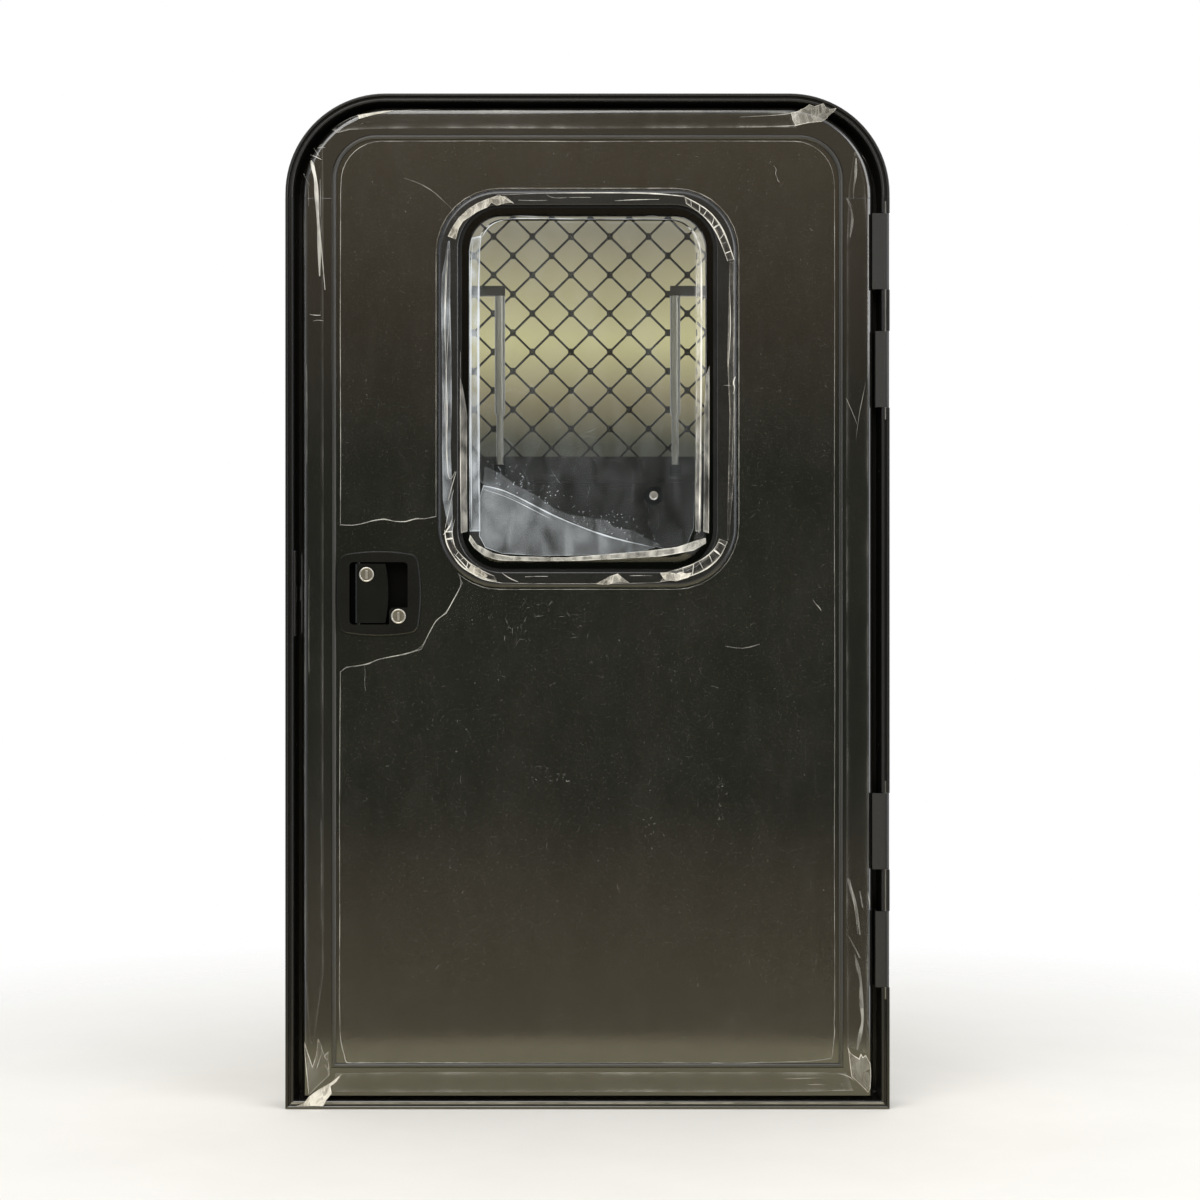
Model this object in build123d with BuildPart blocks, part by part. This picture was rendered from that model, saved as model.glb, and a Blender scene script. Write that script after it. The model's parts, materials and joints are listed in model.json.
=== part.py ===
import os

from build123d import *

os.makedirs("parts", exist_ok=True)

# Frame sizes in millimetres, with rises above the foot of the frame and drops below its head
frame_width = 700.0
frame_height = 1176.0
frame_corner = 116.0
face_width = 9.3
face_depth = 13.0
slot_width = 2.4
ridge_bevel = 0.9
web_thickness = 1.8
lip_reach = 14.0
lip_thickness = 2.0
head_leg = 4.0
screw_radius = 2.25
screw_y = 20.0
screw_rises = (80.0, 420.0)
screw_drops = (436.0, 166.0)

# Hinge line
hinge_depth = 4.8
pin_radius = 2.5
pin_overrun = 14.0
seat_clearance = 0.1
running_clearance = 0.05
knuckle_inset = 0.25
knuckle_length = 88.0
knuckle_end_gap = 0.5
knuckle_groove_width = 1.6
knuckle_groove_depth = 0.9
knuckle_rise = 277.4
knuckle_head_gap = 18.8
knuckle_step = 136.65
pocket_clearance = 0.8
strap_thickness = 3.0
strap_lap = 1.7
leg_thickness = 2.5
leg_setback = 4.6

# Outer leaf
side_gap = 9.2
head_gap = 5.5
leaf_proud = 9.0
leaf_thickness = 24.0
leaf_corner_step = 14.0
leaf_edge_round = 8.0
border_side = 35.0
border_head = 32.5
border_foot = 32.0
border_corner = 52.0
skin_recess = 1.5
skin_thickness = 1.5
lining_recess = 2.0
bead_width = 4.6
bead_height = 3.6
bead_gap = 0.5
bead_bevel = 1.4

# Window
window_side_margin = 158.0
window_head_margin = 96.5
window_height = 461.0
window_corner = 72.0
window_rise = 6.5
window_side_trim = 24.25
window_end_trim = 18.5
window_opening_corner = 50.0
window_shoulder = 3.6
window_crown = 1.6
window_inner_bevel = 1.4
window_sleeve_side = 8.0
window_sleeve_clearance = 0.5
window_trim_thickness = 2.0
pane_side_gap = 3.75
pane_end_gap = 3.0
pane_corner = 47.0
pane_thickness = 3.0
pane_setback = 3.0
dome_rim = 7.5
dome_side_bevel = 11.0
dome_end_bevel = 6.0
dome_corner = 40.0
dome_top_corner = 31.0
dome_rise = 5.0
window_seal_width = 13.0
window_seal_depth = 4.0

# Window stays and latches
stay_inset = 47.25
stay_drop = 103.2
stay_rise = 123.8
stay_rod_length = 59.0
stay_radius = 6.0
stay_rod_radius = 4.0
stay_setback = 18.0
stay_arm_height = 11.6
stay_arm_depth = 8.0
latch_inset = 72.65
latch_rise = 87.8
latch_base_radius = 11.5
latch_base_thickness = 4.0
latch_stem_radius = 5.0
latch_stem_length = 7.0
latch_lever_length = 46.0
latch_lever_width = 12.0
latch_lever_thickness = 5.0

# Lock
lock_rise = 596.9
lock_size = 98.0
lock_bead_gap = 0.4
lock_bulge = 4.5
lock_corner = 11.0
lock_proud = 4.5
lock_edge_bevel = 1.2
bezel_side = 15.25
bezel_end = 12.7
pan_wall = 5.2
pan_floor = 3.0
pan_clearance = 1.0
recess_corner = 5.0
recess_depth = 18.0
boss_side_wall = 2.1
boss_end_wall = 1.2
boss_corner = 5.0

# Paddle
paddle_gap = 5.9
paddle_boss_gap = 1.2
paddle_end_gap = 2.0
paddle_bow = 3.4
paddle_thickness = 6.0
paddle_setback = 1.0
paddle_nose = 3.4
pivot_radius = 2.0
pivot_inset = 4.5
pivot_overrun = 4.0

# Key plugs
plug_face_radius = 8.6
plug_face_thickness = 1.6
plug_face_bevel = 0.5
plug_shaft_radius = 6.0
plug_slot_width = 1.7
plug_slot_height = 9.5
plug_slot_depth = 3.0
plug_well_clearance = 1.8
plug_well_depth = 1.5
boss_plug_length = 10.0
paddle_plug_side = 13.8
paddle_plug_drop = 12.4

# Lock inside and edge
inner_plate_lap = 7.0
inner_plate_corner = 12.0
lever_length = 64.0
lever_width = 16.0
lever_thickness = 3.0
edge_plate_margin = 1.0
edge_plate_height = 92.0
edge_plate_thickness = 1.4
nose_width = 10.0
nose_height = 16.0
nose_reach = 1.4
strike_width = 22.0
strike_height = 100.0
strike_thickness = 1.2
strike_corner = 2.5
strike_clearance = 2.0

# Inner screen
screen_gap = 10.0
screen_thickness = 14.5
screen_side_gap = 7.2
screen_border = 30.0
screen_slot_depth = 6.0
screen_slot_width = 4.4
slot_play = 1.0
mid_rail_rise = 160.5
mid_rail_height = 30.0
grille_thickness = 4.0
grille_pitch_x = 45.5
grille_pitch_z = 45.2
grille_bar = 2.4
grille_knot = 6.8
grille_rim = 3.0
grille_node_x = -65.0
grille_node_rise = 971.0
sheet_thickness = 3.0
hatch_margin = 2.5
hatch_width = 118.0
hatch_height = 150.0
hatch_lap = 9.0
hatch_corner = 5.0
hatch_thickness = 2.0
hatch_rail_height = 8.0
hatch_rail_thickness = 4.0
hatch_rail_length = 236.0
hatch_grip_length = 70.0
hatch_grip_width = 12.0
hatch_grip_thickness = 1.5
hatch_grip_margin = 14.0

# Frame seal
seal_offset = 5.7
seal_width = 7.0
seal_thickness = 6.0
seal_gap = 0.5
seal_bevel = 2.2

# Levels and lines that follow from the sizes above
foot = -face_width / 2
head = foot + frame_height
half_frame = frame_width / 2
spring = head - frame_corner - head_leg
face_front = -face_depth
hinge_y = face_front + hinge_depth
axis_x = half_frame - face_width / 2
knuckle_radius = face_width / 2 - knuckle_inset
pocket_floor = hinge_y + knuckle_radius + pocket_clearance
lower_knuckle = foot + knuckle_rise
upper_knuckle = spring - knuckle_head_gap - knuckle_length
half_leaf = half_frame - face_width - side_gap
half_screen = half_frame - face_width - screen_side_gap
leaf_corner = frame_corner - leaf_corner_step
leaf_foot = foot + face_width + head_gap
leaf_head = head - face_width - head_gap
leaf_front = -leaf_proud
leaf_back = leaf_front + leaf_thickness
skin_front = leaf_front + skin_recess
skin_back = skin_front + skin_thickness
lining_back = leaf_back - lining_recess
screen_front = leaf_back + screen_gap
screen_back = screen_front + screen_thickness
screen_mid = (screen_front + screen_back) / 2
lip_front = screen_back + seal_gap + seal_thickness
reveal_depth = lip_front + lip_thickness
window_width = 2 * (half_leaf - window_side_margin)
window_z = leaf_head - window_head_margin - window_height / 2
window_front = skin_front - window_rise
opening_width = window_width - 2 * window_side_trim
opening_height = window_height - 2 * window_end_trim
opening_foot = window_z - opening_height / 2
opening_head = window_z + opening_height / 2
pane_front = window_front + pane_setback
pane_back = pane_front + pane_thickness
pane_width = opening_width - 2 * pane_side_gap
pane_height = opening_height - 2 * pane_end_gap
dome_width = pane_width - 2 * dome_rim
dome_height = pane_height - 2 * dome_rim
dome_back = pane_back - dome_rise
lock_x = border_side + bead_gap + bead_width + lock_bead_gap + lock_size / 2 - half_leaf
lock_z = foot + lock_rise
lock_front = skin_front - lock_proud
recess_width = lock_size - 2 * bezel_side
recess_height = lock_size - 2 * bezel_end
recess_floor = lock_front + recess_depth
pan_width = recess_width + 2 * pan_wall
pan_height = recess_height + 2 * pan_wall
boss_width = 2 * (plug_face_radius + boss_side_wall)
boss_height = 2 * (plug_face_radius + boss_end_wall)
boss_x = lock_x + recess_width / 2 - boss_width / 2
boss_z = lock_z - recess_height / 2 + boss_height / 2
paddle_left = lock_x - recess_width / 2 + paddle_gap
paddle_right = lock_x + recess_width / 2 - boss_width - paddle_boss_gap
paddle_foot = lock_z - recess_height / 2 + paddle_end_gap
paddle_head = lock_z + recess_height / 2 - paddle_end_gap
paddle_front = lock_front + paddle_setback
paddle_back = paddle_front + paddle_thickness
pivot_x = paddle_left + pivot_inset
pivot_y = (paddle_front + paddle_back) / 2
plug_x = paddle_left + paddle_plug_side
plug_z = paddle_head - paddle_plug_drop
edge_y = (leaf_front + leaf_edge_round + leaf_back) / 2
mid_rail_top = lock_z + mid_rail_rise
hatch_x = screen_border - half_screen + hatch_margin + hatch_width / 2


def facing(y, x=0.0, z=0.0):
    return Plane(origin=(x, y, z), x_dir=(1, 0, 0), z_dir=(0, -1, 0))


def arch(half_width, low, high, radius, mode=Mode.ADD):
    with BuildLine() as outline:
        Polyline((-half_width, high - radius), (-half_width, low), (half_width, low))
        Line((half_width, low), (half_width, high - radius))
        JernArc((half_width, high - radius), (0, 1), radius, 90)
        Line((half_width - radius, high), (radius - half_width, high))
        JernArc((radius - half_width, high), (-1, 0), radius, 90)
    make_face(outline.edges(), mode=mode)


def inset(outline, amount):
    half_width, low, high, radius = outline
    return (half_width - amount, low + amount, high - amount, radius - amount)


def save(piece, label):
    piece.part.label = label
    export_step(piece.part, f"parts/{label}.step")


# Frame section: inward from the outer edge, then back from the wall face
def frame_section(sketch):
    inner = face_width + lip_reach
    back_of_web = face_width - web_thickness
    with BuildLine() as outline:
        Polyline(
            (0, 0),
            (0, face_front),
            (face_width, face_front),
            (face_width, lip_front),
            (inner, lip_front),
            (inner, reveal_depth),
            (back_of_web, reveal_depth),
            (back_of_web, 0),
            close=True,
        )
    make_face(outline.edges())
    with Locations((face_width / 2, (face_front + hinge_y) / 2)):
        Rectangle(slot_width, hinge_depth, mode=Mode.SUBTRACT)
    chamfer(sketch.vertices().group_by(Axis.Y)[0], ridge_bevel)


foot_mitre = Plane(origin=(-half_frame, 0, foot), x_dir=(1, 0, 1), z_dir=(-1, 0, 1))

# Frame left jamb
with BuildPart() as left_jamb:
    with BuildSketch(Plane(origin=(-half_frame, 0, foot), x_dir=(1, 0, 0), z_dir=(0, 0, 1))) as jamb_sketch:
        frame_section(jamb_sketch)
    extrude(amount=spring - foot)
    split(bisect_by=foot_mitre, keep=Keep.TOP)
    with BuildSketch(Plane.YZ.offset(-half_frame)):
        for rise, drop in zip(screw_rises, screw_drops):
            with Locations((screw_y, foot + rise), (screw_y, head - drop)):
                Circle(screw_radius)
    extrude(amount=face_width, mode=Mode.SUBTRACT)
save(left_jamb, "frame_left_jamb")

# Frame right jamb, bored for the hinge pins, with its face cut back where the knuckles turn
with BuildPart() as right_jamb:
    mirror(left_jamb.part, about=Plane.YZ)
    for door_knuckle in (lower_knuckle, upper_knuckle):
        with BuildSketch(Plane.XY.offset(door_knuckle - knuckle_step - pin_overrun)):
            with Locations((axis_x, hinge_y)):
                Circle(pin_radius + seat_clearance)
        extrude(amount=knuckle_step + knuckle_length + 2 * pin_overrun, mode=Mode.SUBTRACT)
        for knuckle in (door_knuckle, door_knuckle - knuckle_step):
            with BuildSketch(Plane.XY.offset(knuckle - knuckle_end_gap)):
                with Locations((axis_x, pocket_floor)):
                    Rectangle(2 * face_width, 2 * face_depth, align=(Align.CENTER, Align.MAX))
            extrude(amount=knuckle_length + 2 * knuckle_end_gap, mode=Mode.SUBTRACT)
save(right_jamb, "frame_right_jamb")

# Frame head, bent at both top corners
with BuildPart() as frame_head:
    with BuildLine(facing(0)) as head_path:
        FilletPolyline(
            (-half_frame, spring),
            (-half_frame, head),
            (half_frame, head),
            (half_frame, spring),
            radius=frame_corner,
        )
    with BuildSketch(Plane(origin=(-half_frame, 0, spring), x_dir=(1, 0, 0), z_dir=(0, 0, 1))) as head_sketch:
        frame_section(head_sketch)
    sweep(path=head_path.wires()[0])
save(frame_head, "frame_head")

# Frame sill, mitred into both jambs
with BuildPart() as sill:
    with BuildSketch(Plane(origin=(-half_frame, 0, foot), x_dir=(0, 0, 1), z_dir=(-1, 0, 0))) as sill_sketch:
        frame_section(sill_sketch)
    extrude(amount=-frame_width)
    split(bisect_by=foot_mitre, keep=Keep.BOTTOM)
    split(bisect_by=Plane(origin=(half_frame, 0, foot), x_dir=(-1, 0, 1), z_dir=(-1, 0, -1)), keep=Keep.TOP)
save(sill, "frame_sill")

# Seal on the stop lip
frame_outline = (half_frame, foot, head, frame_corner)
with BuildPart() as frame_seal:
    with BuildSketch(facing(lip_front)):
        arch(*inset(frame_outline, face_width + seal_offset))
        arch(*inset(frame_outline, face_width + seal_offset + seal_width), mode=Mode.SUBTRACT)
    extrude(amount=seal_thickness)
    chamfer(frame_seal.faces().sort_by(Axis.Y)[0].edges(), seal_bevel)
save(frame_seal, "frame_seal")

# Hinge pins, one through each pair of knuckles
for label, door_knuckle in (("lower_hinge_pin", lower_knuckle), ("upper_hinge_pin", upper_knuckle)):
    with BuildPart() as pin:
        with BuildSketch(Plane.XY.offset(door_knuckle - knuckle_step - pin_overrun)):
            with Locations((axis_x, hinge_y)):
                Circle(pin_radius)
        extrude(amount=knuckle_step + knuckle_length + 2 * pin_overrun)
    save(pin, label)

# Strike plate on the left reveal
left_reveal = Plane(origin=(face_width - half_frame, edge_y, lock_z), x_dir=(0, 1, 0), z_dir=(1, 0, 0))
with BuildPart() as strike:
    with BuildSketch(left_reveal):
        RectangleRounded(strike_width, strike_height, strike_corner)
        Rectangle(nose_width + 2 * strike_clearance, nose_height + 2 * strike_clearance, mode=Mode.SUBTRACT)
    extrude(amount=strike_thickness)
save(strike, "strike_plate")


# A ring leaf: outer arch less inner arch, between two depths
def ring(outer, inner, front, back):
    with BuildPart() as piece:
        with BuildSketch(facing(back)):
            arch(*outer)
            arch(*inner, mode=Mode.SUBTRACT)
        extrude(amount=back - front)
    return piece


def ring_piece(body, planes, label):
    with BuildPart() as piece:
        add(body)
        for plane in planes:
            split(bisect_by=plane, keep=Keep.TOP)
    save(piece, label)
    return piece


# Cuts a ring leaf into two stiles, a bent head rail and a mitred bottom rail
def ring_pieces(body, half_width, low, side, base, springing, prefix):
    above_left = Plane(origin=(-half_width, 0, low), x_dir=(side, 0, base), z_dir=(-base, 0, side))
    below_left = Plane(origin=(-half_width, 0, low), x_dir=(side, 0, base), z_dir=(base, 0, -side))
    below_right = Plane(origin=(half_width, 0, low), x_dir=(-side, 0, base), z_dir=(-base, 0, -side))
    under = Plane(origin=(0, 0, springing), x_dir=(1, 0, 0), z_dir=(0, 0, -1))
    over = Plane(origin=(0, 0, springing), x_dir=(1, 0, 0), z_dir=(0, 0, 1))
    leftward = Plane(origin=(0, 0, 0), x_dir=(0, 1, 0), z_dir=(-1, 0, 0))
    left_stile = ring_piece(body, (under, leftward, above_left), f"{prefix}_left_stile")
    with BuildPart() as right_stile:
        mirror(left_stile.part, about=Plane.YZ)
    save(right_stile, f"{prefix}_right_stile")
    ring_piece(body, (over,), f"{prefix}_head_rail")
    ring_piece(body, (under, below_left, below_right), f"{prefix}_bottom_rail")


# Outer leaf border, rounded along its sides and head and square along its foot
panel_outline = (half_leaf - border_side, leaf_foot + border_foot, leaf_head - border_head, border_corner)
border = ring((half_leaf, leaf_foot, leaf_head, leaf_corner), panel_outline, leaf_front, leaf_back)
with BuildPart() as rounded_border:
    add(border.part)
    front_edges = rounded_border.faces().sort_by(Axis.Y)[0].outer_wire().edges()
    fillet(front_edges.sort_by(Axis.Z)[1:], leaf_edge_round)
ring_pieces(
    rounded_border.part,
    half_leaf,
    leaf_foot,
    border_side,
    border_foot,
    leaf_head - leaf_corner - head_leg,
    "door",
)


# Bead round the panel
bead_ring = ring(
    inset(panel_outline, bead_gap),
    inset(panel_outline, bead_gap + bead_width),
    skin_front - bead_height,
    skin_front,
)
with BuildPart() as bead:
    add(bead_ring.part)
    chamfer(bead.faces().sort_by(Axis.Y)[0].edges(), bead_bevel)
save(bead, "panel_bead")

sleeve_width = opening_width + 2 * window_sleeve_side
sleeve_height = opening_height + 2 * window_sleeve_side
sleeve_corner = window_opening_corner + window_sleeve_side


# Panel layer with its window and lock holes
def panel_layer(front, back):
    with BuildPart() as layer:
        with BuildSketch(facing(back)):
            arch(*panel_outline)
            with Locations((0, window_z)):
                RectangleRounded(
                    sleeve_width + 2 * window_sleeve_clearance,
                    sleeve_height + 2 * window_sleeve_clearance,
                    sleeve_corner + window_sleeve_clearance,
                    mode=Mode.SUBTRACT,
                )
            with Locations((lock_x, lock_z)):
                Rectangle(pan_width + 2 * pan_clearance, pan_height + 2 * pan_clearance, mode=Mode.SUBTRACT)
        extrude(amount=back - front)
    return layer


save(panel_layer(skin_front, skin_back), "outer_skin")
save(panel_layer(skin_back, lining_back), "inner_panel")

# Window outer frame: rounded trim and the sleeve through the panel
with BuildPart() as window_frame:
    with BuildSketch(facing(skin_front, 0, window_z)):
        RectangleRounded(window_width, window_height, window_corner)
        RectangleRounded(opening_width, opening_height, window_opening_corner, mode=Mode.SUBTRACT)
    extrude(amount=window_rise)
    for bevel in (window_shoulder, window_crown):
        trim_face = window_frame.faces().sort_by(Axis.Y)[0]
        chamfer(trim_face.outer_wire().edges(), bevel)
    trim_face = window_frame.faces().sort_by(Axis.Y)[0]
    chamfer(trim_face.inner_wires()[0].edges(), window_inner_bevel)
    with BuildSketch(facing(lining_back, 0, window_z)):
        RectangleRounded(sleeve_width, sleeve_height, sleeve_corner)
        RectangleRounded(opening_width, opening_height, window_opening_corner, mode=Mode.SUBTRACT)
    extrude(amount=lining_back - skin_front)
save(window_frame, "window_outer_frame")

# Window inner trim on the lining
with BuildPart() as window_trim:
    with BuildSketch(facing(leaf_back, 0, window_z)):
        RectangleRounded(window_width, window_height, window_corner)
        RectangleRounded(opening_width, opening_height, window_opening_corner, mode=Mode.SUBTRACT)
    extrude(amount=window_trim_thickness)
save(window_trim, "window_inner_trim")

# Window seal that the pane closes on
with BuildPart() as window_seal:
    with BuildSketch(facing(pane_back + window_seal_depth, 0, window_z)):
        RectangleRounded(opening_width, opening_height, window_opening_corner)
        RectangleRounded(
            opening_width - 2 * window_seal_width,
            opening_height - 2 * window_seal_width,
            window_opening_corner - window_seal_width,
            mode=Mode.SUBTRACT,
        )
    extrude(amount=window_seal_depth)
save(window_seal, "window_seal")

# Acrylic pane with a raised bevelled middle, hollow behind
with BuildPart() as pane:
    with BuildSketch(facing(pane_back, 0, window_z)):
        RectangleRounded(pane_width, pane_height, pane_corner)
    extrude(amount=pane_thickness)
    with BuildSketch(facing(pane_front, 0, window_z)):
        RectangleRounded(dome_width, dome_height, dome_corner)
    with BuildSketch(facing(pane_front - dome_rise, 0, window_z)):
        RectangleRounded(dome_width - 2 * dome_side_bevel, dome_height - 2 * dome_end_bevel, dome_top_corner)
    loft(ruled=True)
    with BuildSketch(facing(pane_back, 0, window_z)):
        RectangleRounded(
            dome_width - pane_thickness,
            dome_height - pane_thickness,
            dome_corner - pane_thickness / 2,
        )
    with BuildSketch(facing(pane_back - dome_rise, 0, window_z)):
        RectangleRounded(
            dome_width - 2 * dome_side_bevel - pane_thickness,
            dome_height - 2 * dome_end_bevel - pane_thickness,
            dome_top_corner - pane_thickness / 2,
        )
    loft(ruled=True, mode=Mode.SUBTRACT)
save(pane, "window_pane")

# Window stays: arm from the sleeve, tube, rod and foot on the pane
stay_y = dome_back + stay_setback
stay_head = opening_head - stay_drop
stay_foot = opening_foot + stay_rise
rod_head = stay_foot + stay_rod_length
stay_back = stay_y + stay_rod_radius
for label, side in (("window_stay_left", -1), ("window_stay_right", 1)):
    stay_x = side * (opening_width / 2 - stay_inset)
    with BuildPart() as stay:
        with BuildSketch(Plane.XY.offset(rod_head)):
            with Locations((stay_x, stay_y)):
                Circle(stay_radius)
        extrude(amount=stay_head - rod_head)
        with BuildSketch(Plane.XY.offset(stay_foot)):
            with Locations((stay_x, stay_y)):
                Circle(stay_rod_radius)
        extrude(amount=rod_head - stay_foot)
        with BuildSketch(Plane.XY.offset(stay_head)):
            with Locations((stay_x + side * (stay_inset - stay_radius) / 2, stay_y)):
                Rectangle(stay_inset + stay_radius, stay_arm_depth)
        extrude(amount=stay_arm_height)
        with BuildSketch(Plane.XY.offset(stay_foot - stay_arm_height)):
            with Locations((stay_x, (dome_back + stay_back) / 2)):
                Rectangle(2 * stay_radius, stay_back - dome_back)
        extrude(amount=stay_arm_height)
    save(stay, label)

# Window latches: round base on the pane, stem and lever
latch_z = opening_foot + latch_rise
base_back = dome_back + latch_base_thickness
stem_back = base_back + latch_stem_length
lever_z = latch_z - latch_lever_length / 2 + latch_lever_width / 2
for label, side in (("window_latch_left", -1), ("window_latch_right", 1)):
    latch_x = side * (opening_width / 2 - latch_inset)
    with BuildPart() as latch:
        with BuildSketch(facing(base_back, latch_x, latch_z)):
            Circle(latch_base_radius)
        extrude(amount=latch_base_thickness)
        with BuildSketch(facing(stem_back, latch_x, latch_z)):
            Circle(latch_stem_radius)
        extrude(amount=latch_stem_length)
        with BuildSketch(facing(stem_back + latch_lever_thickness, latch_x, lever_z)):
            SlotOverall(latch_lever_length, latch_lever_width, rotation=90)
        extrude(amount=latch_lever_thickness)
    save(latch, label)

# Lock housing: bowed bezel, pan behind it, recess and boss
half_lock = lock_size / 2
square = half_lock - lock_bulge
with BuildPart() as housing:
    with BuildSketch(facing(skin_front, lock_x, lock_z)) as bezel_sketch:
        with BuildLine():
            ThreePointArc((-square, -square), (0, -half_lock), (square, -square))
            ThreePointArc((square, -square), (half_lock, 0), (square, square))
            ThreePointArc((square, square), (0, half_lock), (-square, square))
            ThreePointArc((-square, square), (-half_lock, 0), (-square, -square))
        make_face()
        fillet(bezel_sketch.vertices(), lock_corner)
    extrude(amount=lock_proud)
    chamfer(housing.faces().sort_by(Axis.Y)[0].edges(), lock_edge_bevel)
    with BuildSketch(facing(recess_floor + pan_floor, lock_x, lock_z)):
        Rectangle(pan_width, pan_height)
    extrude(amount=recess_floor + pan_floor - skin_front)
    with BuildSketch(facing(recess_floor, lock_x, lock_z)) as recess_sketch:
        RectangleRounded(recess_width, recess_height, recess_corner)
        with Locations((boss_x - lock_x, boss_z - lock_z)):
            Rectangle(boss_width, boss_height, mode=Mode.SUBTRACT)
        fillet(recess_sketch.vertices().sort_by_distance((0, 0))[0], boss_corner)
    extrude(amount=recess_depth, mode=Mode.SUBTRACT)
    with BuildSketch(facing(lock_front, boss_x, boss_z)):
        Circle(plug_shaft_radius + running_clearance)
    extrude(amount=-boss_plug_length, mode=Mode.SUBTRACT)
    with BuildSketch(Plane.XY.offset(paddle_foot - pivot_overrun - seat_clearance)):
        with Locations((pivot_x, pivot_y)):
            Circle(pivot_radius + running_clearance)
    extrude(amount=paddle_head - paddle_foot + 2 * (pivot_overrun + seat_clearance), mode=Mode.SUBTRACT)
save(housing, "lock_housing")

# Paddle: round-nosed bar with a bowed pull edge, pivot stubs and a well for its key plug
with BuildPart() as paddle:
    with BuildSketch(Plane.XY.offset(paddle_foot)) as paddle_sketch:
        with Locations(((paddle_left + paddle_right) / 2, pivot_y)):
            Rectangle(paddle_right - paddle_left, paddle_thickness)
        fillet(paddle_sketch.vertices().sort_by_distance((paddle_left, paddle_front))[0], paddle_nose)
    extrude(amount=paddle_head - paddle_foot)
    with BuildSketch(facing(paddle_back)):
        with BuildLine():
            Polyline(
                (paddle_right - paddle_bow, paddle_head),
                (paddle_left, paddle_head),
                (paddle_left, paddle_foot),
                (paddle_right - paddle_bow, paddle_foot),
            )
            ThreePointArc(
                (paddle_right - paddle_bow, paddle_foot),
                (paddle_right, lock_z),
                (paddle_right - paddle_bow, paddle_head),
            )
        make_face()
    extrude(amount=paddle_thickness, mode=Mode.INTERSECT)
    with BuildSketch(facing(paddle_front, plug_x, plug_z)):
        Circle(plug_face_radius + plug_well_clearance)
    extrude(amount=-plug_well_depth, mode=Mode.SUBTRACT)
    with BuildSketch(facing(paddle_back, plug_x, plug_z)):
        Circle(plug_shaft_radius + running_clearance)
    extrude(amount=paddle_thickness, mode=Mode.SUBTRACT)
    for stub_foot in (paddle_foot - pivot_overrun, paddle_head):
        with BuildSketch(Plane.XY.offset(stub_foot)):
            with Locations((pivot_x, pivot_y)):
                Circle(pivot_radius)
        extrude(amount=pivot_overrun)
save(paddle, "paddle")


# Key plug: collar, shaft and key slot
def key_plug(x, z, seat_y, length, label):
    face_y = seat_y - seat_clearance
    with BuildPart() as plug:
        with BuildSketch(facing(face_y, x, z)):
            Circle(plug_face_radius)
        extrude(amount=plug_face_thickness)
        chamfer(plug.faces().sort_by(Axis.Y)[0].edges(), plug_face_bevel)
        with BuildSketch(facing(face_y, x, z)):
            Circle(plug_shaft_radius)
        extrude(amount=-length)
        with BuildSketch(facing(face_y - plug_face_thickness, x, z)):
            Rectangle(plug_slot_width, plug_slot_height)
        extrude(amount=-plug_slot_depth, mode=Mode.SUBTRACT)
    save(plug, label)


well_floor = paddle_front + plug_well_depth
key_plug(plug_x, plug_z, well_floor, paddle_back - well_floor, "paddle_key_plug")
key_plug(boss_x, boss_z, lock_front, boss_plug_length - seat_clearance, "deadbolt_key_plug")

# Plate and lever inside, over the lock
with BuildPart() as inner_plate:
    with BuildSketch(facing(leaf_back, lock_x, lock_z)):
        RectangleRounded(
            pan_width + 2 * inner_plate_lap,
            pan_height + 2 * inner_plate_lap,
            inner_plate_corner,
        )
    extrude(amount=leaf_back - lining_back)
    with BuildSketch(facing(leaf_back + lever_thickness, lock_x, lock_z)):
        SlotOverall(lever_length, lever_width)
    extrude(amount=lever_thickness)
save(inner_plate, "lock_inner_plate")

# Lock plate on the leaf's edge, with the latch nose
edge_plate_width = leaf_thickness - leaf_edge_round - 2 * edge_plate_margin
leaf_edge = Plane(origin=(-half_leaf, edge_y, lock_z), x_dir=(0, 1, 0), z_dir=(-1, 0, 0))
with BuildPart() as edge_plate:
    with BuildSketch(leaf_edge):
        Rectangle(edge_plate_width, edge_plate_height)
    extrude(amount=edge_plate_thickness)
    with BuildSketch(leaf_edge):
        Rectangle(nose_width, nose_height)
    extrude(amount=edge_plate_thickness + nose_reach)
save(edge_plate, "lock_edge_plate")


# Hinge leaf: grooved knuckle, strap across the gap and a leg back along the edge
def hinge_leaf(knuckle, edge_x, lap, leg_back, label):
    strap_front = hinge_y - knuckle_radius
    with BuildPart() as leaf:
        with BuildSketch(Plane.XY.offset(knuckle)):
            with Locations((axis_x, strap_front)):
                Rectangle(axis_x - edge_x + lap, strap_thickness, align=(Align.MAX, Align.MIN))
            with Locations((edge_x, strap_front)):
                Rectangle(leg_thickness, leg_back - strap_front, align=(Align.MIN, Align.MIN))
            with Locations((axis_x, hinge_y)):
                Circle(knuckle_radius)
                Circle(pin_radius + running_clearance, mode=Mode.SUBTRACT)
            with Locations((axis_x, strap_front)):
                Rectangle(knuckle_groove_width, 2 * knuckle_groove_depth, mode=Mode.SUBTRACT)
        extrude(amount=knuckle_length)
    save(leaf, label)


for name, door_knuckle in (("lower", lower_knuckle), ("upper", upper_knuckle)):
    hinge_leaf(door_knuckle, half_leaf, strap_lap, leaf_back - leg_setback, f"door_hinge_leaf_{name}")
    screen_knuckle = door_knuckle - knuckle_step
    hinge_leaf(screen_knuckle, half_screen, 0, screen_back - leg_setback, f"screen_hinge_leaf_{name}")

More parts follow.
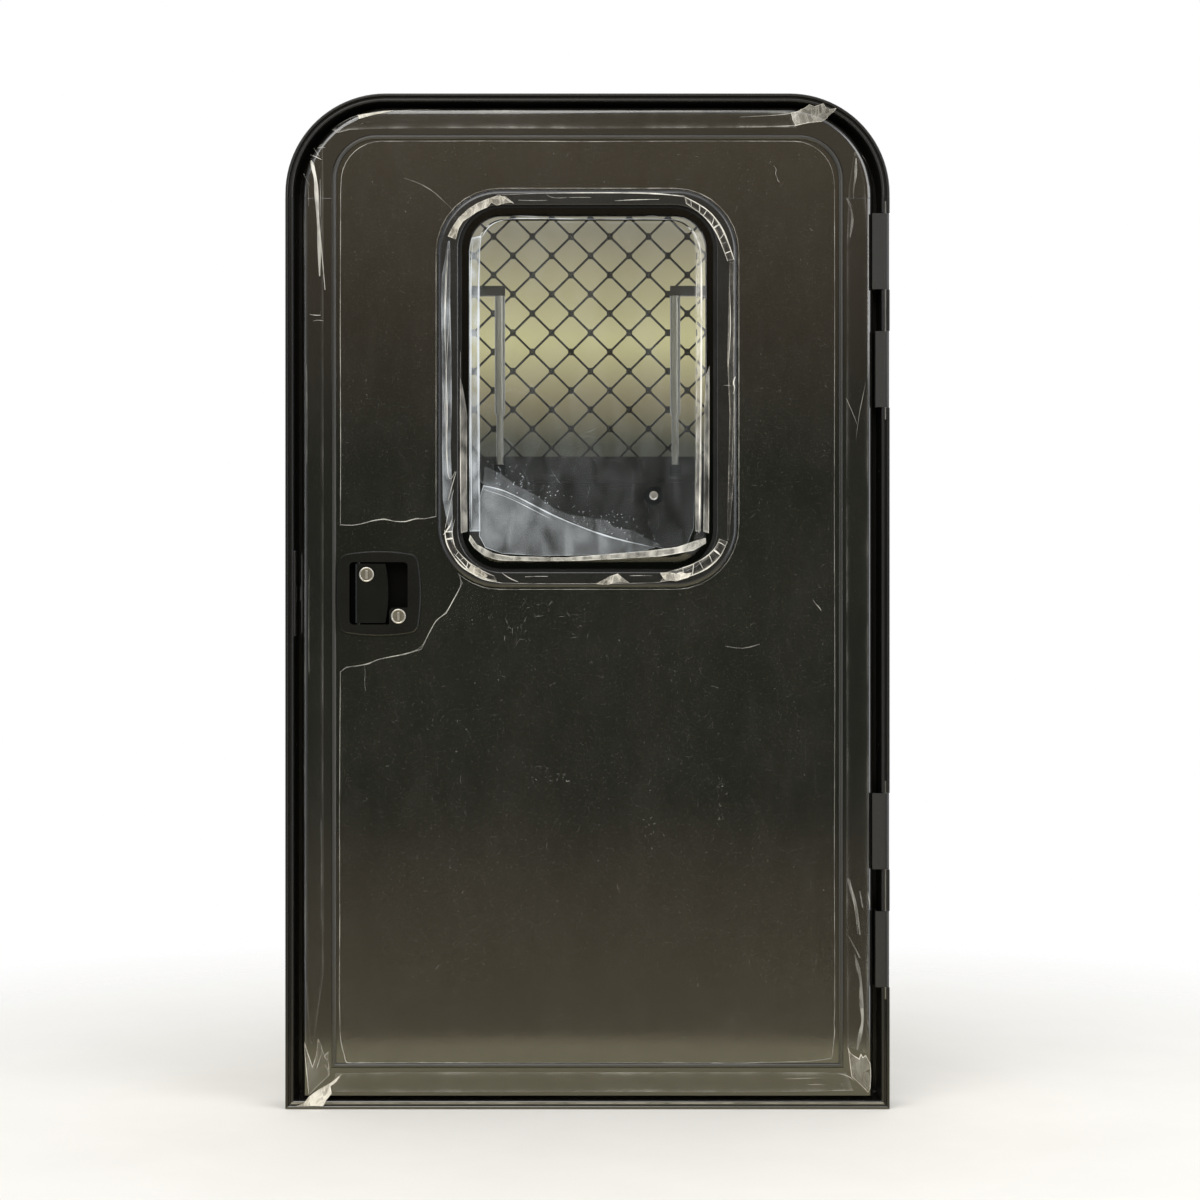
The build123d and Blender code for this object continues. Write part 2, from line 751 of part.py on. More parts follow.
# Screen border with the slot that holds its grille and sheet
screen_outline = (half_screen, leaf_foot, leaf_head, leaf_corner)
slot_back = screen_mid + screen_slot_width / 2
screen_ring = ring(screen_outline, inset(screen_outline, screen_border), screen_front, screen_back)
with BuildPart() as slotted_screen:
    add(screen_ring.part)
    with BuildSketch(facing(slot_back)):
        arch(*inset(screen_outline, screen_border - screen_slot_depth))
    extrude(amount=screen_slot_width, mode=Mode.SUBTRACT)
ring_pieces(
    slotted_screen.part,
    half_screen,
    leaf_foot,
    screen_border,
    screen_border,
    leaf_head - leaf_corner - head_leg,
    "screen",
)

half_screen_opening = half_screen - screen_border
screen_infill = inset(screen_outline, screen_border - screen_slot_depth + slot_play)
mid_rail_z = mid_rail_top - mid_rail_height / 2

# Screen mid rail, slotted above and below
with BuildPart() as mid_rail:
    with BuildSketch(Plane.YZ.offset(-half_screen_opening)):
        with Locations((screen_mid, mid_rail_z)):
            Rectangle(screen_thickness, mid_rail_height)
            with Locations((0, mid_rail_height / 2 - screen_slot_depth / 2)):
                Rectangle(screen_slot_width, screen_slot_depth, mode=Mode.SUBTRACT)
            with Locations((0, screen_slot_depth / 2 - mid_rail_height / 2)):
                Rectangle(screen_slot_width, screen_slot_depth, mode=Mode.SUBTRACT)
    extrude(amount=2 * half_screen_opening)
save(mid_rail, "screen_mid_rail")

grille_foot = mid_rail_top - screen_slot_depth + slot_play
sheet_head = mid_rail_top - mid_rail_height + screen_slot_depth - slot_play
infill_half, infill_foot, infill_head, infill_radius = screen_infill
diamond_x = grille_pitch_x / 2
diamond_z = grille_pitch_z / 2
diamond_slant = (diamond_x**2 + diamond_z**2) ** 0.5
diamond_share = 1 - grille_bar * diamond_slant / (2 * diamond_x * diamond_z)
diamond_tip = diamond_z * diamond_share
knot_side = diamond_x - grille_knot / 2
knot_rise = diamond_tip - knot_side * diamond_z / diamond_x
grille_columns = int(frame_width / diamond_x)
grille_rows = int(frame_width / diamond_z)
diamond_centres = [
    (grille_node_x + column * diamond_x, foot + grille_node_rise + row * diamond_z)
    for column in range(-grille_columns, grille_columns + 1)
    for row in range(-grille_rows, grille_rows + 1)
    if (column + row) % 2
]
diamonds_used = [
    centre
    for centre in diamond_centres
    if abs(centre[0]) < infill_half + diamond_x
    and grille_foot - diamond_z < centre[1] < infill_head + diamond_z
]

# Diamond grille, one flat lattice with a knot at each crossing
with BuildPart() as grille:
    with BuildSketch(facing(screen_mid + grille_thickness / 2)):
        arch(infill_half, grille_foot, infill_head, infill_radius)
        with Locations(*diamonds_used):
            Polygon(
                (knot_side, knot_rise),
                (0, diamond_tip),
                (-knot_side, knot_rise),
                (-knot_side, -knot_rise),
                (0, -diamond_tip),
                (knot_side, -knot_rise),
                mode=Mode.SUBTRACT,
            )
    extrude(amount=grille_thickness)
    with BuildSketch(facing(screen_mid + grille_thickness / 2)):
        arch(infill_half, grille_foot, infill_head, infill_radius)
        arch(
            infill_half - grille_rim,
            grille_foot + grille_rim,
            infill_head - grille_rim,
            infill_radius - grille_rim,
            Mode.SUBTRACT,
        )
    extrude(amount=grille_thickness)
save(grille, "screen_grille")

# Screen lower sheet, with the hand hole behind the lock
sheet_back = screen_mid + sheet_thickness / 2
cover_height = hatch_height - 2 * hatch_rail_height
with BuildPart() as sheet:
    with BuildSketch(facing(sheet_back)):
        with Locations((0, (infill_foot + sheet_head) / 2)):
            Rectangle(2 * infill_half, sheet_head - infill_foot)
        with Locations((hatch_x, lock_z)):
            RectangleRounded(
                hatch_width - 2 * hatch_lap, cover_height - 2 * hatch_lap, hatch_corner, mode=Mode.SUBTRACT
            )
    extrude(amount=sheet_thickness)
save(sheet, "screen_sheet")

# Hatch cover over the hand hole, with a finger grip
grip_x = hatch_x + hatch_width / 2 - hatch_grip_margin
with BuildPart() as hatch:
    with BuildSketch(facing(sheet_back + hatch_thickness, hatch_x, lock_z)):
        RectangleRounded(hatch_width, cover_height, hatch_corner)
    extrude(amount=hatch_thickness)
    with BuildSketch(facing(sheet_back + hatch_thickness + hatch_grip_thickness, grip_x, lock_z)):
        SlotOverall(hatch_grip_length, hatch_grip_width, rotation=90)
    extrude(amount=hatch_grip_thickness)
save(hatch, "screen_hatch")

# Two rails that guide the hatch
with BuildPart() as hatch_rails:
    for side in (-1, 1):
        rail_z = lock_z + side * (cover_height + hatch_rail_height) / 2
        with BuildSketch(facing(sheet_back + hatch_rail_thickness, hatch_x - hatch_width / 2, rail_z)):
            Rectangle(hatch_rail_length, hatch_rail_height, align=(Align.MIN, Align.CENTER))
        extrude(amount=hatch_rail_thickness)
save(hatch_rails, "screen_hatch_rails")
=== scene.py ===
import json
import math
import random

import bpy
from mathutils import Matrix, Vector

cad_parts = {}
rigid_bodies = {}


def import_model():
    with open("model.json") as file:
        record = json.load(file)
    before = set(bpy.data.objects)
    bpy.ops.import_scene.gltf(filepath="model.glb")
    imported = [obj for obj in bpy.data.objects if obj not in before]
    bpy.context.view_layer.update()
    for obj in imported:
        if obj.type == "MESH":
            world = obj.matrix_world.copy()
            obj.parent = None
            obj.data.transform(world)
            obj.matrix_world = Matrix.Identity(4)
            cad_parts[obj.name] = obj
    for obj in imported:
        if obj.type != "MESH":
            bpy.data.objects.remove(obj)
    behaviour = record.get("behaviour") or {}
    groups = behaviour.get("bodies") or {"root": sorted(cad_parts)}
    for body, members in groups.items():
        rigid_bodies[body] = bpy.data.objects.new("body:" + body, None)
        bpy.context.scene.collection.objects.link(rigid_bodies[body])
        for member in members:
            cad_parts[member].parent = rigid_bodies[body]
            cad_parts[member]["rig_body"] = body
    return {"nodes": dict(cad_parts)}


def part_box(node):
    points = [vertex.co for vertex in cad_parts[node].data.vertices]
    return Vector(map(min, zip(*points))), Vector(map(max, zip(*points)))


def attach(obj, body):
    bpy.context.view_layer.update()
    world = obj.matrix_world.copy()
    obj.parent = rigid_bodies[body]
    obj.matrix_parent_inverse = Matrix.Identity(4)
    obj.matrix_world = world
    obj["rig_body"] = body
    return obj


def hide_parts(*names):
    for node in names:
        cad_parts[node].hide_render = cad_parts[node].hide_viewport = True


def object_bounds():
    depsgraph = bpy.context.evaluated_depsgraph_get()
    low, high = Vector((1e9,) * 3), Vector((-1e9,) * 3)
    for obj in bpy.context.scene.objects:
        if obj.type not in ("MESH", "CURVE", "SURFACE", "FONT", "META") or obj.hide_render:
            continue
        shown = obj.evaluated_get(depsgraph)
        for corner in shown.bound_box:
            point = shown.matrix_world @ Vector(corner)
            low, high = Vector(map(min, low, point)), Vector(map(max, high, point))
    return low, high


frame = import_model()
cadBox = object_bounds()
nodes = frame["nodes"]
scene = bpy.context.scene
scene.view_settings.view_transform = "Standard"
print("frame loaded:", len(nodes), "nodes")


def newMaterial(name):
    material = bpy.data.materials.new(name)
    material.use_nodes = True
    tree = material.node_tree
    return material, tree, tree.nodes["Principled BSDF"]


def link(tree, source, target):
    tree.links.new(source, target)


def setInputs(node, values):
    for socket, value in values.items():
        node.inputs[socket].default_value = value


def place(tree, scale=(1, 1, 1), turn=(0, 0, 0)):  # object coordinates, stretched and turned
    texture = tree.nodes.new("ShaderNodeTexCoord")
    mapping = tree.nodes.new("ShaderNodeMapping")
    setInputs(mapping, {"Scale": scale, "Rotation": turn})
    link(tree, texture.outputs["Object"], mapping.inputs["Vector"])
    return mapping.outputs["Vector"]


def axes(tree, kind="Object"):  # the coordinates one by one
    texture = tree.nodes.new("ShaderNodeTexCoord")
    split = tree.nodes.new("ShaderNodeSeparateXYZ")
    link(tree, texture.outputs[kind], split.inputs["Vector"])
    return split.outputs


def noise(tree, vector, scale, detail, roughness=0.55, distortion=0.0):
    node = tree.nodes.new("ShaderNodeTexNoise")
    setInputs(node, {"Scale": scale, "Detail": detail, "Roughness": roughness, "Distortion": distortion})
    link(tree, vector, node.inputs["Vector"])
    return node.outputs["Fac"]


def ramp(tree, factor, stops):
    node = tree.nodes.new("ShaderNodeValToRGB")
    while len(node.color_ramp.elements) < len(stops):
        node.color_ramp.elements.new(0.5)
    for element, (position, value) in zip(node.color_ramp.elements, stops):
        element.position = position
        element.color = (value, value, value, 1) if isinstance(value, float) else (*value, 1)
    link(tree, factor, node.inputs["Fac"])
    return node.outputs["Color"]


def span(tree, factor, low, high, fromLow=0.0, fromHigh=1.0):
    node = tree.nodes.new("ShaderNodeMapRange")
    setInputs(node, {"From Min": fromLow, "From Max": fromHigh, "To Min": low, "To Max": high})
    link(tree, factor, node.inputs["Value"])
    return node.outputs["Result"]


def combine(tree, kind, first, second):
    node = tree.nodes.new("ShaderNodeMath")
    node.operation = kind
    for socket, value in zip(node.inputs, (first, second)):
        if isinstance(value, (int, float)):
            socket.default_value = value
        else:
            link(tree, value, socket)
    return node.outputs["Value"]


def blendColour(tree, factor, first, second):
    node = tree.nodes.new("ShaderNodeMix")
    node.data_type = "RGBA"
    link(tree, factor, node.inputs[0])
    for index, value in ((6, first), (7, second)):
        if isinstance(value, tuple):
            node.inputs[index].default_value = (*value, 1)
        else:
            link(tree, value, node.inputs[index])
    return node.outputs[2]


def blendVector(tree, vector, push, amount):  # shifts a pattern's coordinates by another pattern
    node = tree.nodes.new("ShaderNodeVectorMath")
    node.operation = "ADD"
    link(tree, vector, node.inputs[0])
    link(tree, span(tree, push, -amount, amount), node.inputs[1])
    return node.outputs["Vector"]


def bump(tree, shader, height, strength, distance):
    node = tree.nodes.new("ShaderNodeBump")
    setInputs(node, {"Strength": strength, "Distance": distance})
    link(tree, height, node.inputs["Height"])
    link(tree, node.outputs["Normal"], shader.inputs["Normal"])


def mixShaders(tree, factor, first, second):
    node = tree.nodes.new("ShaderNodeMixShader")
    for socket, source in zip(node.inputs, (factor, first, second)):
        link(tree, source, socket)
    return node.outputs["Shader"]


def coatedMetal(look):  # gloss or satin paint with soft patches, dust and hairline scuffs
    material, tree, shader = newMaterial(look["name"])
    wide = noise(tree, place(tree, look["stretch"]), 9.0, 3.0)
    fine = noise(tree, place(tree), look["grain"], 1.5)
    colour = ramp(tree, wide, [(0.3, look["dark"]), (0.72, look["light"])])
    specks = noise(tree, place(tree), 520.0, 2.0, 0.7)
    mask = ramp(tree, specks, [(0.62, 0.0), (0.75, look["dust"])])
    colour = blendColour(tree, mask, colour, (0.33, 0.31, 0.27))
    hairs = noise(tree, place(tree, (60, 60, 1.3), (0, 0.35, 0)), 14.0, 3.0, 0.6)
    scuffs = ramp(tree, hairs, [(0.68, 0.0), (0.8, look["scuff"])])
    colour = blendColour(tree, scuffs, colour, (0.2, 0.19, 0.165))
    if "wear" in look:  # painted highlight: a patchy cream band along one height, where the sill's ridge catches the light
        band = ramp(tree, span(tree, axes(tree)["Z"], 0.0, 1.0, *look["wear"]),
                    [(0.0, 0.0), (0.35, 1.0), (0.65, 1.0), (1.0, 0.0)])
        patchy = span(tree, noise(tree, place(tree), 26.0, 5.0, 0.6), 0.35, 1.0, 0.38, 0.62)
        colour = blendColour(tree, combine(tree, "MULTIPLY", band, patchy), colour, (0.56, 0.52, 0.43))
    link(tree, colour, shader.inputs["Base Color"])
    low, high = look["rough"]
    link(tree, span(tree, wide, low, high, 0.3, 0.7), shader.inputs["Roughness"])
    setInputs(shader, {"Specular IOR Level": look["shine"], "Coat Weight": look["coat"]})
    setInputs(shader, {"Coat Roughness": 0.06, "Coat IOR": 1.65})
    bump(tree, shader, fine, look["bump"], 0.0004)
    return material


def mouldedPlastic(look):  # black moulding with a pebbled skin
    material, tree, shader = newMaterial(look["name"])
    pebbles = noise(tree, place(tree), look["grain"], 2.0, 0.5)
    wide = noise(tree, place(tree), 30.0, 4.0)
    link(tree, ramp(tree, wide, [(0.3, look["dark"]), (0.75, look["light"])]), shader.inputs["Base Color"])
    rough = look["rough"]
    link(tree, span(tree, pebbles, rough - 0.07, rough + 0.07, 0.3, 0.7), shader.inputs["Roughness"])
    setInputs(shader, {"Specular IOR Level": look["shine"]})
    bump(tree, shader, pebbles, look["bump"], 0.0003)
    return material


def plainMetal(look):  # brushed or plated metal
    material, tree, shader = newMaterial(look["name"])
    brushed = noise(tree, place(tree, look["stretch"]), look["grain"], 3.0, 0.6)
    link(tree, ramp(tree, brushed, [(0.3, look["dark"]), (0.7, look["light"])]), shader.inputs["Base Color"])
    rough = look["rough"]
    link(tree, span(tree, brushed, rough - 0.07, rough + 0.1, 0.3, 0.7), shader.inputs["Roughness"])
    setInputs(shader, {"Metallic": 1.0})
    bump(tree, shader, brushed, 0.05, 0.0001)
    return material


def smokedAcrylic(look):  # light smoke tint, faintly scuffed
    material, tree, shader = newMaterial(look["name"])
    scuffs = noise(tree, place(tree, (1, 1, 0.35), (0, 0.5, 0)), 70.0, 3.0, 0.7)
    cloud = noise(tree, place(tree), 7.0, 2.0)
    link(tree, ramp(tree, cloud, [(0.3, look["dark"]), (0.7, look["light"])]), shader.inputs["Base Color"])
    link(tree, span(tree, scuffs, 0.0, 0.10, 0.35, 0.8), shader.inputs["Roughness"])
    setInputs(shader, {"Transmission Weight": 1.0, "IOR": 1.49})
    bump(tree, shader, scuffs, 0.03, 0.0004)
    return material


def stayFinish(look):  # drawn alloy tube with dark brackets at both ends
    material, tree, shader = newMaterial(look["name"])
    brushed = noise(tree, place(tree, (1, 1, 0.05)), 400.0, 3.0)
    height = axes(tree)["Z"]
    over = combine(tree, "GREATER_THAN", height, look["high"])
    under = combine(tree, "LESS_THAN", height, look["low"])
    bracket = combine(tree, "MAXIMUM", over, under)
    alloy = ramp(tree, brushed, [(0.3, look["dark"]), (0.7, look["light"])])
    link(tree, blendColour(tree, bracket, alloy, (0.02, 0.02, 0.02)), shader.inputs["Base Color"])
    link(tree, combine(tree, "SUBTRACT", 0.55, bracket), shader.inputs["Metallic"])
    link(tree, span(tree, brushed, 0.16, 0.26, 0.3, 0.7), shader.inputs["Roughness"])
    bump(tree, shader, brushed, 0.08, 0.0002)
    return material


def clearFilm(look):  # protective film: its haze is painted on the mesh, so edges and folds turn milky
    material, tree, shader = newMaterial(look["name"])
    painted = tree.nodes.new("ShaderNodeAttribute")
    painted.attribute_name = "haze"
    wrinkle = noise(tree, place(tree, (1, 1, 0.45), (0, 0.3, 0)), look["grain"], look["detail"], 0.55, 0.5)
    cloud = noise(tree, place(tree, (1, 1, 0.6)), 11.0, 3.0, 0.6)
    uneven = combine(tree, "MULTIPLY", span(tree, wrinkle, 0.45, 1.5, 0.3, 0.7),
                     span(tree, cloud, 0.6, 1.4, 0.3, 0.7))
    cracks = tree.nodes.new("ShaderNodeTexVoronoi")
    cracks.feature = "DISTANCE_TO_EDGE"
    setInputs(cracks, {"Scale": look["cell"]})
    link(tree, blendVector(tree, place(tree), wrinkle, look["bend"]), cracks.inputs["Vector"])
    folds = span(tree, cracks.outputs["Distance"], look["folds"], 0.0, 0.0, 0.09)
    uneven = combine(tree, "ADD", uneven, folds)
    alpha = combine(tree, "MULTIPLY", painted.outputs["Fac"], uneven)
    link(tree, combine(tree, "MINIMUM", alpha, look["most"]), shader.inputs["Alpha"])
    link(tree, ramp(tree, wrinkle, [(0.3, look["dark"]), (0.65, look["light"])]), shader.inputs["Base Color"])
    link(tree, span(tree, wrinkle, 0.22, 0.5, 0.3, 0.7), shader.inputs["Roughness"])
    bump(tree, shader, wrinkle, look["bump"], 0.0006)
    return material


coats = {
    "frame": {"name": "frameBlack", "dark": (0.0042, 0.004, 0.0035), "light": (0.0088, 0.0082, 0.007),
              "rough": (0.28, 0.42), "grain": 900.0, "stretch": (1, 1, 0.2), "dust": 0.12, "scuff": 0.1,
              "shine": 0.5, "coat": 0.15, "bump": 0.08},
    "leaf": {"name": "leafBlack", "dark": (0.0045, 0.0043, 0.0037), "light": (0.009, 0.0081, 0.0066),
             "rough": (0.10, 0.18), "grain": 500.0, "stretch": (1, 1, 0.3), "dust": 0.10, "scuff": 0.06,
             "shine": 0.9, "coat": 0.9, "bump": 0.02},
    "skin": {"name": "skinCharcoal", "dark": (0.0045, 0.0040, 0.0031), "light": (0.0098, 0.0084, 0.0062),
             "rough": (0.08, 0.15), "grain": 300.0, "stretch": (1, 1, 0.5), "dust": 0.24, "scuff": 0.1,
             "shine": 1.0, "coat": 1.0, "bump": 0.018},
    # the sill's last entry sets the heights of a painted highlight band along its ridge
    "sill": {"name": "sillBlack", "dark": (0.010, 0.0095, 0.0085), "light": (0.019, 0.018, 0.0158),
             "rough": (0.16, 0.26), "grain": 900.0, "stretch": (0.2, 1, 1), "dust": 0.12, "scuff": 0.2,
             "shine": 1.0, "coat": 1.0, "bump": 0.05, "wear": (0.0007, 0.0031)},
    # painted highlight: the bead's black is lighter than the leaf's, standing in for light on its round top
    "bead": {"name": "beadBlack", "dark": (0.018, 0.0168, 0.0138), "light": (0.034, 0.0315, 0.026),
             "rough": (0.26, 0.36), "grain": 800.0, "stretch": (1, 1, 0.2), "dust": 0.1, "scuff": 0.1,
             "shine": 0.8, "coat": 0.3, "bump": 0.08},
    "hinge": {"name": "hingeGrey", "dark": (0.0115, 0.0115, 0.011), "light": (0.020, 0.0198, 0.0186),
              "rough": (0.34, 0.46), "grain": 900.0, "stretch": (1, 1, 0.1), "dust": 0.1, "scuff": 0.2,
              "shine": 0.6, "coat": 0.1, "bump": 0.10},
    "grille": {"name": "grilleBlack", "dark": (0.008, 0.008, 0.0078), "light": (0.016, 0.0158, 0.0148),
               "rough": (0.42, 0.56), "grain": 1200.0, "stretch": (1, 1, 1), "dust": 0.05, "scuff": 0.05,
               "shine": 0.5, "coat": 0.0, "bump": 0.12},
    "screen": {"name": "screenBlack", "dark": (0.010, 0.010, 0.0097), "light": (0.021, 0.0208, 0.0195),
               "rough": (0.32, 0.46), "grain": 1000.0, "stretch": (1, 1, 0.2), "dust": 0.1, "scuff": 0.12,
               "shine": 0.5, "coat": 0.1, "bump": 0.10},
    "plate": {"name": "plateDark", "dark": (0.03, 0.03, 0.0295), "light": (0.06, 0.0595, 0.058),
              "rough": (0.28, 0.42), "grain": 900.0, "stretch": (1, 1, 0.1), "dust": 0.05, "scuff": 0.3,
              "shine": 0.6, "coat": 0.1, "bump": 0.10},
}
mouldings = {
    "window": {"name": "windowBlack", "dark": (0.008, 0.008, 0.008), "light": (0.015, 0.0148, 0.0138),
               "rough": 0.2, "grain": 420.0, "bump": 0.06, "shine": 0.9},
    "rubber": {"name": "sealRubber", "dark": (0.010, 0.010, 0.010), "light": (0.022, 0.022, 0.021),
               "rough": 0.6, "grain": 900.0, "bump": 0.2, "shine": 0.4},
    "lock": {"name": "lockBlack", "dark": (0.003, 0.003, 0.0028), "light": (0.006, 0.0059, 0.0055),
             "rough": 0.22, "grain": 1500.0, "bump": 0.06, "shine": 0.7},
    # painted shade: a darker black for the lock's recess
    "recess": {"name": "lockRecessShade", "dark": (0.0012, 0.0012, 0.0011), "light": (0.0024, 0.0023, 0.0022),
               "rough": 0.5, "grain": 1500.0, "bump": 0.1, "shine": 0.08},
    "paddle": {"name": "paddleBlack", "dark": (0.003, 0.0032, 0.003), "light": (0.0055, 0.0055, 0.0052),
               "rough": 0.2, "grain": 1300.0, "bump": 0.04, "shine": 0.6},
    "lining": {"name": "liningBlack", "dark": (0.014, 0.014, 0.0135), "light": (0.024, 0.024, 0.0225),
               "rough": 0.5, "grain": 700.0, "bump": 0.25, "shine": 0.5},
    "latch": {"name": "latchBlack", "dark": (0.011, 0.011, 0.011), "light": (0.02, 0.02, 0.019),
              "rough": 0.4, "grain": 1100.0, "bump": 0.15, "shine": 0.5},
}
metals = {
    "steel": {"name": "pinSteel", "light": (0.56, 0.55, 0.53), "dark": (0.32, 0.31, 0.30), "rough": 0.34,
              "stretch": (1, 1, 0.1), "grain": 300.0},
    "nickel": {"name": "keyNickel", "light": (0.80, 0.77, 0.70), "dark": (0.74, 0.71, 0.64), "rough": 0.3,
               "stretch": (1, 1, 1), "grain": 700.0},
    "plug": {"name": "plugFace", "light": (0.40, 0.37, 0.31), "dark": (0.30, 0.275, 0.225), "rough": 0.36,
             "stretch": (1, 1, 1), "grain": 700.0},
}
films = {
    "film": {"name": "filmHazy", "dark": (0.66, 0.64, 0.575), "light": (0.90, 0.875, 0.79), "grain": 60.0,
             "detail": 2.4, "most": 0.95, "cell": 30.0, "bend": 0.02, "folds": 0.0, "bump": 0.06},
    "crumple": {"name": "filmCrumpled", "dark": (0.58, 0.535, 0.435), "light": (0.92, 0.88, 0.77),
                "grain": 62.0, "detail": 2.5, "most": 0.95, "cell": 46.0, "bend": 0.03, "folds": 0.9,
                "bump": 0.28},
    "paneFilm": {"name": "filmBluish", "dark": (0.56, 0.60, 0.63), "light": (0.74, 0.79, 0.83),
                 "grain": 48.0, "detail": 1.0, "most": 0.9, "cell": 60.0, "bend": 0.02, "folds": 0.12,
                 "bump": 0.01},
}
finishes = {name: coatedMetal(look) for name, look in coats.items()}
finishes.update({name: mouldedPlastic(look) for name, look in mouldings.items()})
finishes.update({name: plainMetal(look) for name, look in metals.items()})
finishes.update({name: clearFilm(look) for name, look in films.items()})
acrylic = {"name": "paneClear", "dark": (0.53, 0.53, 0.50), "light": (0.62, 0.62, 0.585)}
finishes["acrylic"] = smokedAcrylic(acrylic)
bracketLength = 0.0116
stayFoot, stayTop = (corner.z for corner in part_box("window_stay_left"))
stay = {"name": "stayGrey", "dark": (0.66, 0.67, 0.69), "light": (0.84, 0.85, 0.87),
        "low": stayFoot + bracketLength, "high": stayTop - bracketLength}
finishes["stay"] = stayFinish(stay)
print("finishes mixed")


def pickOnly(piece):
    bpy.ops.object.select_all(action="DESELECT")
    piece.select_set(True)
    bpy.context.view_layer.objects.active = piece


def applyAll(piece):
    pickOnly(piece)
    for modifier in list(piece.modifiers):
        bpy.ops.object.modifier_apply(modifier=modifier.name)


def settle(piece, finish, body):  # last step of every new piece
    piece.data.materials.clear()
    piece.data.materials.append(finishes[finish])
    piece.visible_shadow = finish not in films  # clear film throws no shadow
    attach(piece, body)


def editAll():
    bpy.ops.object.mode_set(mode="EDIT")
    bpy.ops.mesh.select_all(action="SELECT")


def endEdit():
    bpy.ops.object.mode_set(mode="OBJECT")


def named(name):  # the piece just added
    piece = bpy.context.object
    piece.name = name
    return piece


softSet = {"merge": 0.00001, "flat": 0.5, "cornerFrom": 28, "smoothTo": 32, "segments": 2}


def softenedCopy(nodeName, finish, width):
    source = nodes[nodeName]
    words = nodeName.split("_")
    piece = bpy.data.objects.new(words[0] + "".join(word.title() for word in words[1:]), source.data.copy())
    scene.collection.objects.link(piece)
    pickOnly(piece)
    bpy.ops.mesh.customdata_custom_splitnormals_clear()
    editAll()
    bpy.ops.mesh.remove_doubles(threshold=softSet["merge"])
    bpy.ops.mesh.dissolve_limited(angle_limit=math.radians(softSet["flat"]))
    endEdit()
    corner = piece.modifiers.new("corner", "BEVEL")
    corner.limit_method = "ANGLE"
    corner.angle_limit = math.radians(softSet["cornerFrom"])
    corner.width = width
    corner.segments = softSet["segments"]
    applyAll(piece)
    bpy.ops.object.shade_smooth_by_angle(angle=math.radians(softSet["smoothTo"]))
    level = piece.modifiers.new("level", "WEIGHTED_NORMAL")  # keeps flat faces flat beside their round edges
    level.keep_sharp = True
    applyAll(piece)
    settle(piece, finish, source["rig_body"])
    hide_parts(nodeName)


dressed = [  # finish, bevel width in metres or 0 for none, slot, nodes
    ("frame", 0.0005, "frame_black", ["frame_left_jamb", "frame_right_jamb", "frame_head"]),
    ("sill", 0.0005, "frame_black", ["frame_sill"]),
    ("leaf", 0.0005, "leaf_black", ["door_left_stile", "door_right_stile", "door_head_rail",
                                    "door_bottom_rail"]),
    ("bead", 0.0004, "bead_black", ["panel_bead"]),
    ("window", 0.0006, "window_black", ["window_outer_frame", "window_inner_trim"]),
    ("lock", 0.0012, "lock_black", ["lock_housing"]),
    ("paddle", 0.0012, "paddle_black", ["paddle"]),
    ("plug", 0.0002, "key_nickel", ["paddle_key_plug", "deadbolt_key_plug"]),
    ("hinge", 0.0003, "hinge_black", ["door_hinge_leaf_lower", "door_hinge_leaf_upper",
                                      "screen_hinge_leaf_lower", "screen_hinge_leaf_upper"]),
    ("stay", 0.0004, "stay_grey", ["window_stay_left", "window_stay_right"]),
    ("latch", 0.0005, "latch_black", ["window_latch_left", "window_latch_right"]),
    ("lining", 0.0005, "lining_black", ["lock_inner_plate"]),
    ("lining", 0, "", ["inner_panel"]),
    ("rubber", 0, "", ["frame_seal", "window_seal"]),
    ("steel", 0, "", ["lower_hinge_pin", "upper_hinge_pin"]),
    ("plate", 0, "", ["strike_plate", "lock_edge_plate"]),
    ("screen", 0, "", ["screen_left_stile", "screen_right_stile", "screen_head_rail", "screen_bottom_rail",
                       "screen_mid_rail", "screen_sheet", "screen_hatch", "screen_hatch_rails"]),
    ("grille", 0, "", ["screen_grille"]),
    ("skin", 0, "", ["outer_skin"]),
    ("acrylic", 0, "", ["window_pane"]),
]
for finish, width, slot, names in dressed:
    for name in names:
        nodes[name].material_slots[0].material = finishes[finish]
        if width:
            softenedCopy(name, finish, width)
print("nodes dressed and corners softened")

recessSet = {"x": -0.242, "z": 0.59225, "half": 0.042, "front": -0.0107}


def paintRecessShade():  # painted shade: the bowl behind the paddle gets a darker, duller black than the lock, where shade falls
    housing = bpy.data.objects["lockHousing"]
    housing.data.materials.append(finishes["recess"])
    for face in housing.data.polygons:
        inX = abs(face.center.x - recessSet["x"]) < recessSet["half"]
        inZ = abs(face.center.z - recessSet["z"]) < recessSet["half"]
        if inX and inZ and face.center.y > recessSet["front"]:
            face.material_index = 1


paintRecessShade()
print("recess darkened")

leafFace = {"half": 331.5, "low": -200.0, "high": 1156.55, "corner": 102.0, "front": -9.0, "round": 8.0}
trimFace = {"half": 173.5, "low": 599.05, "high": 1060.05, "corner": 72.0, "front": -14.0, "round": 5.2}
domeFace = {"half": 127.0, "low": 634.05, "high": 1025.05, "corner": 31.0, "front": -16.0, "fall": 5.0,
            "run": 11.0}
panelFront = -7.5


def insetFrom(face, x, z, squareFoot):  # how far inside a rounded outline a point lies, in mm
    across = face["half"] - abs(x)
    upDown = min(face["high"] - z, z - face["low"])
    middle = (face["low"] + face["high"]) / 2
    if across < face["corner"] and upDown < face["corner"] and (z > middle or not squareFoot):
        return face["corner"] - math.hypot(face["corner"] - across, face["corner"] - upDown)
    return min(across, upDown)


def surfaceAt(kind, x, z):  # front of the leaf, panel, trim or pane in mm, so that film lies on it
    if kind == "panel":
        return panelFront
    if kind == "pane":
        out = -insetFrom(domeFace, x, z, False)
        return domeFace["front"] + domeFace["fall"] * min(max(out / domeFace["run"], 0.0), 1.0)
    face = leafFace if kind == "leaf" else trimFace
    short = max(face["round"] - max(insetFrom(face, x, z, kind == "leaf"), 0.0), 0.0)
    return face["front"] + face["round"] - math.sqrt(face["round"] ** 2 - short ** 2)


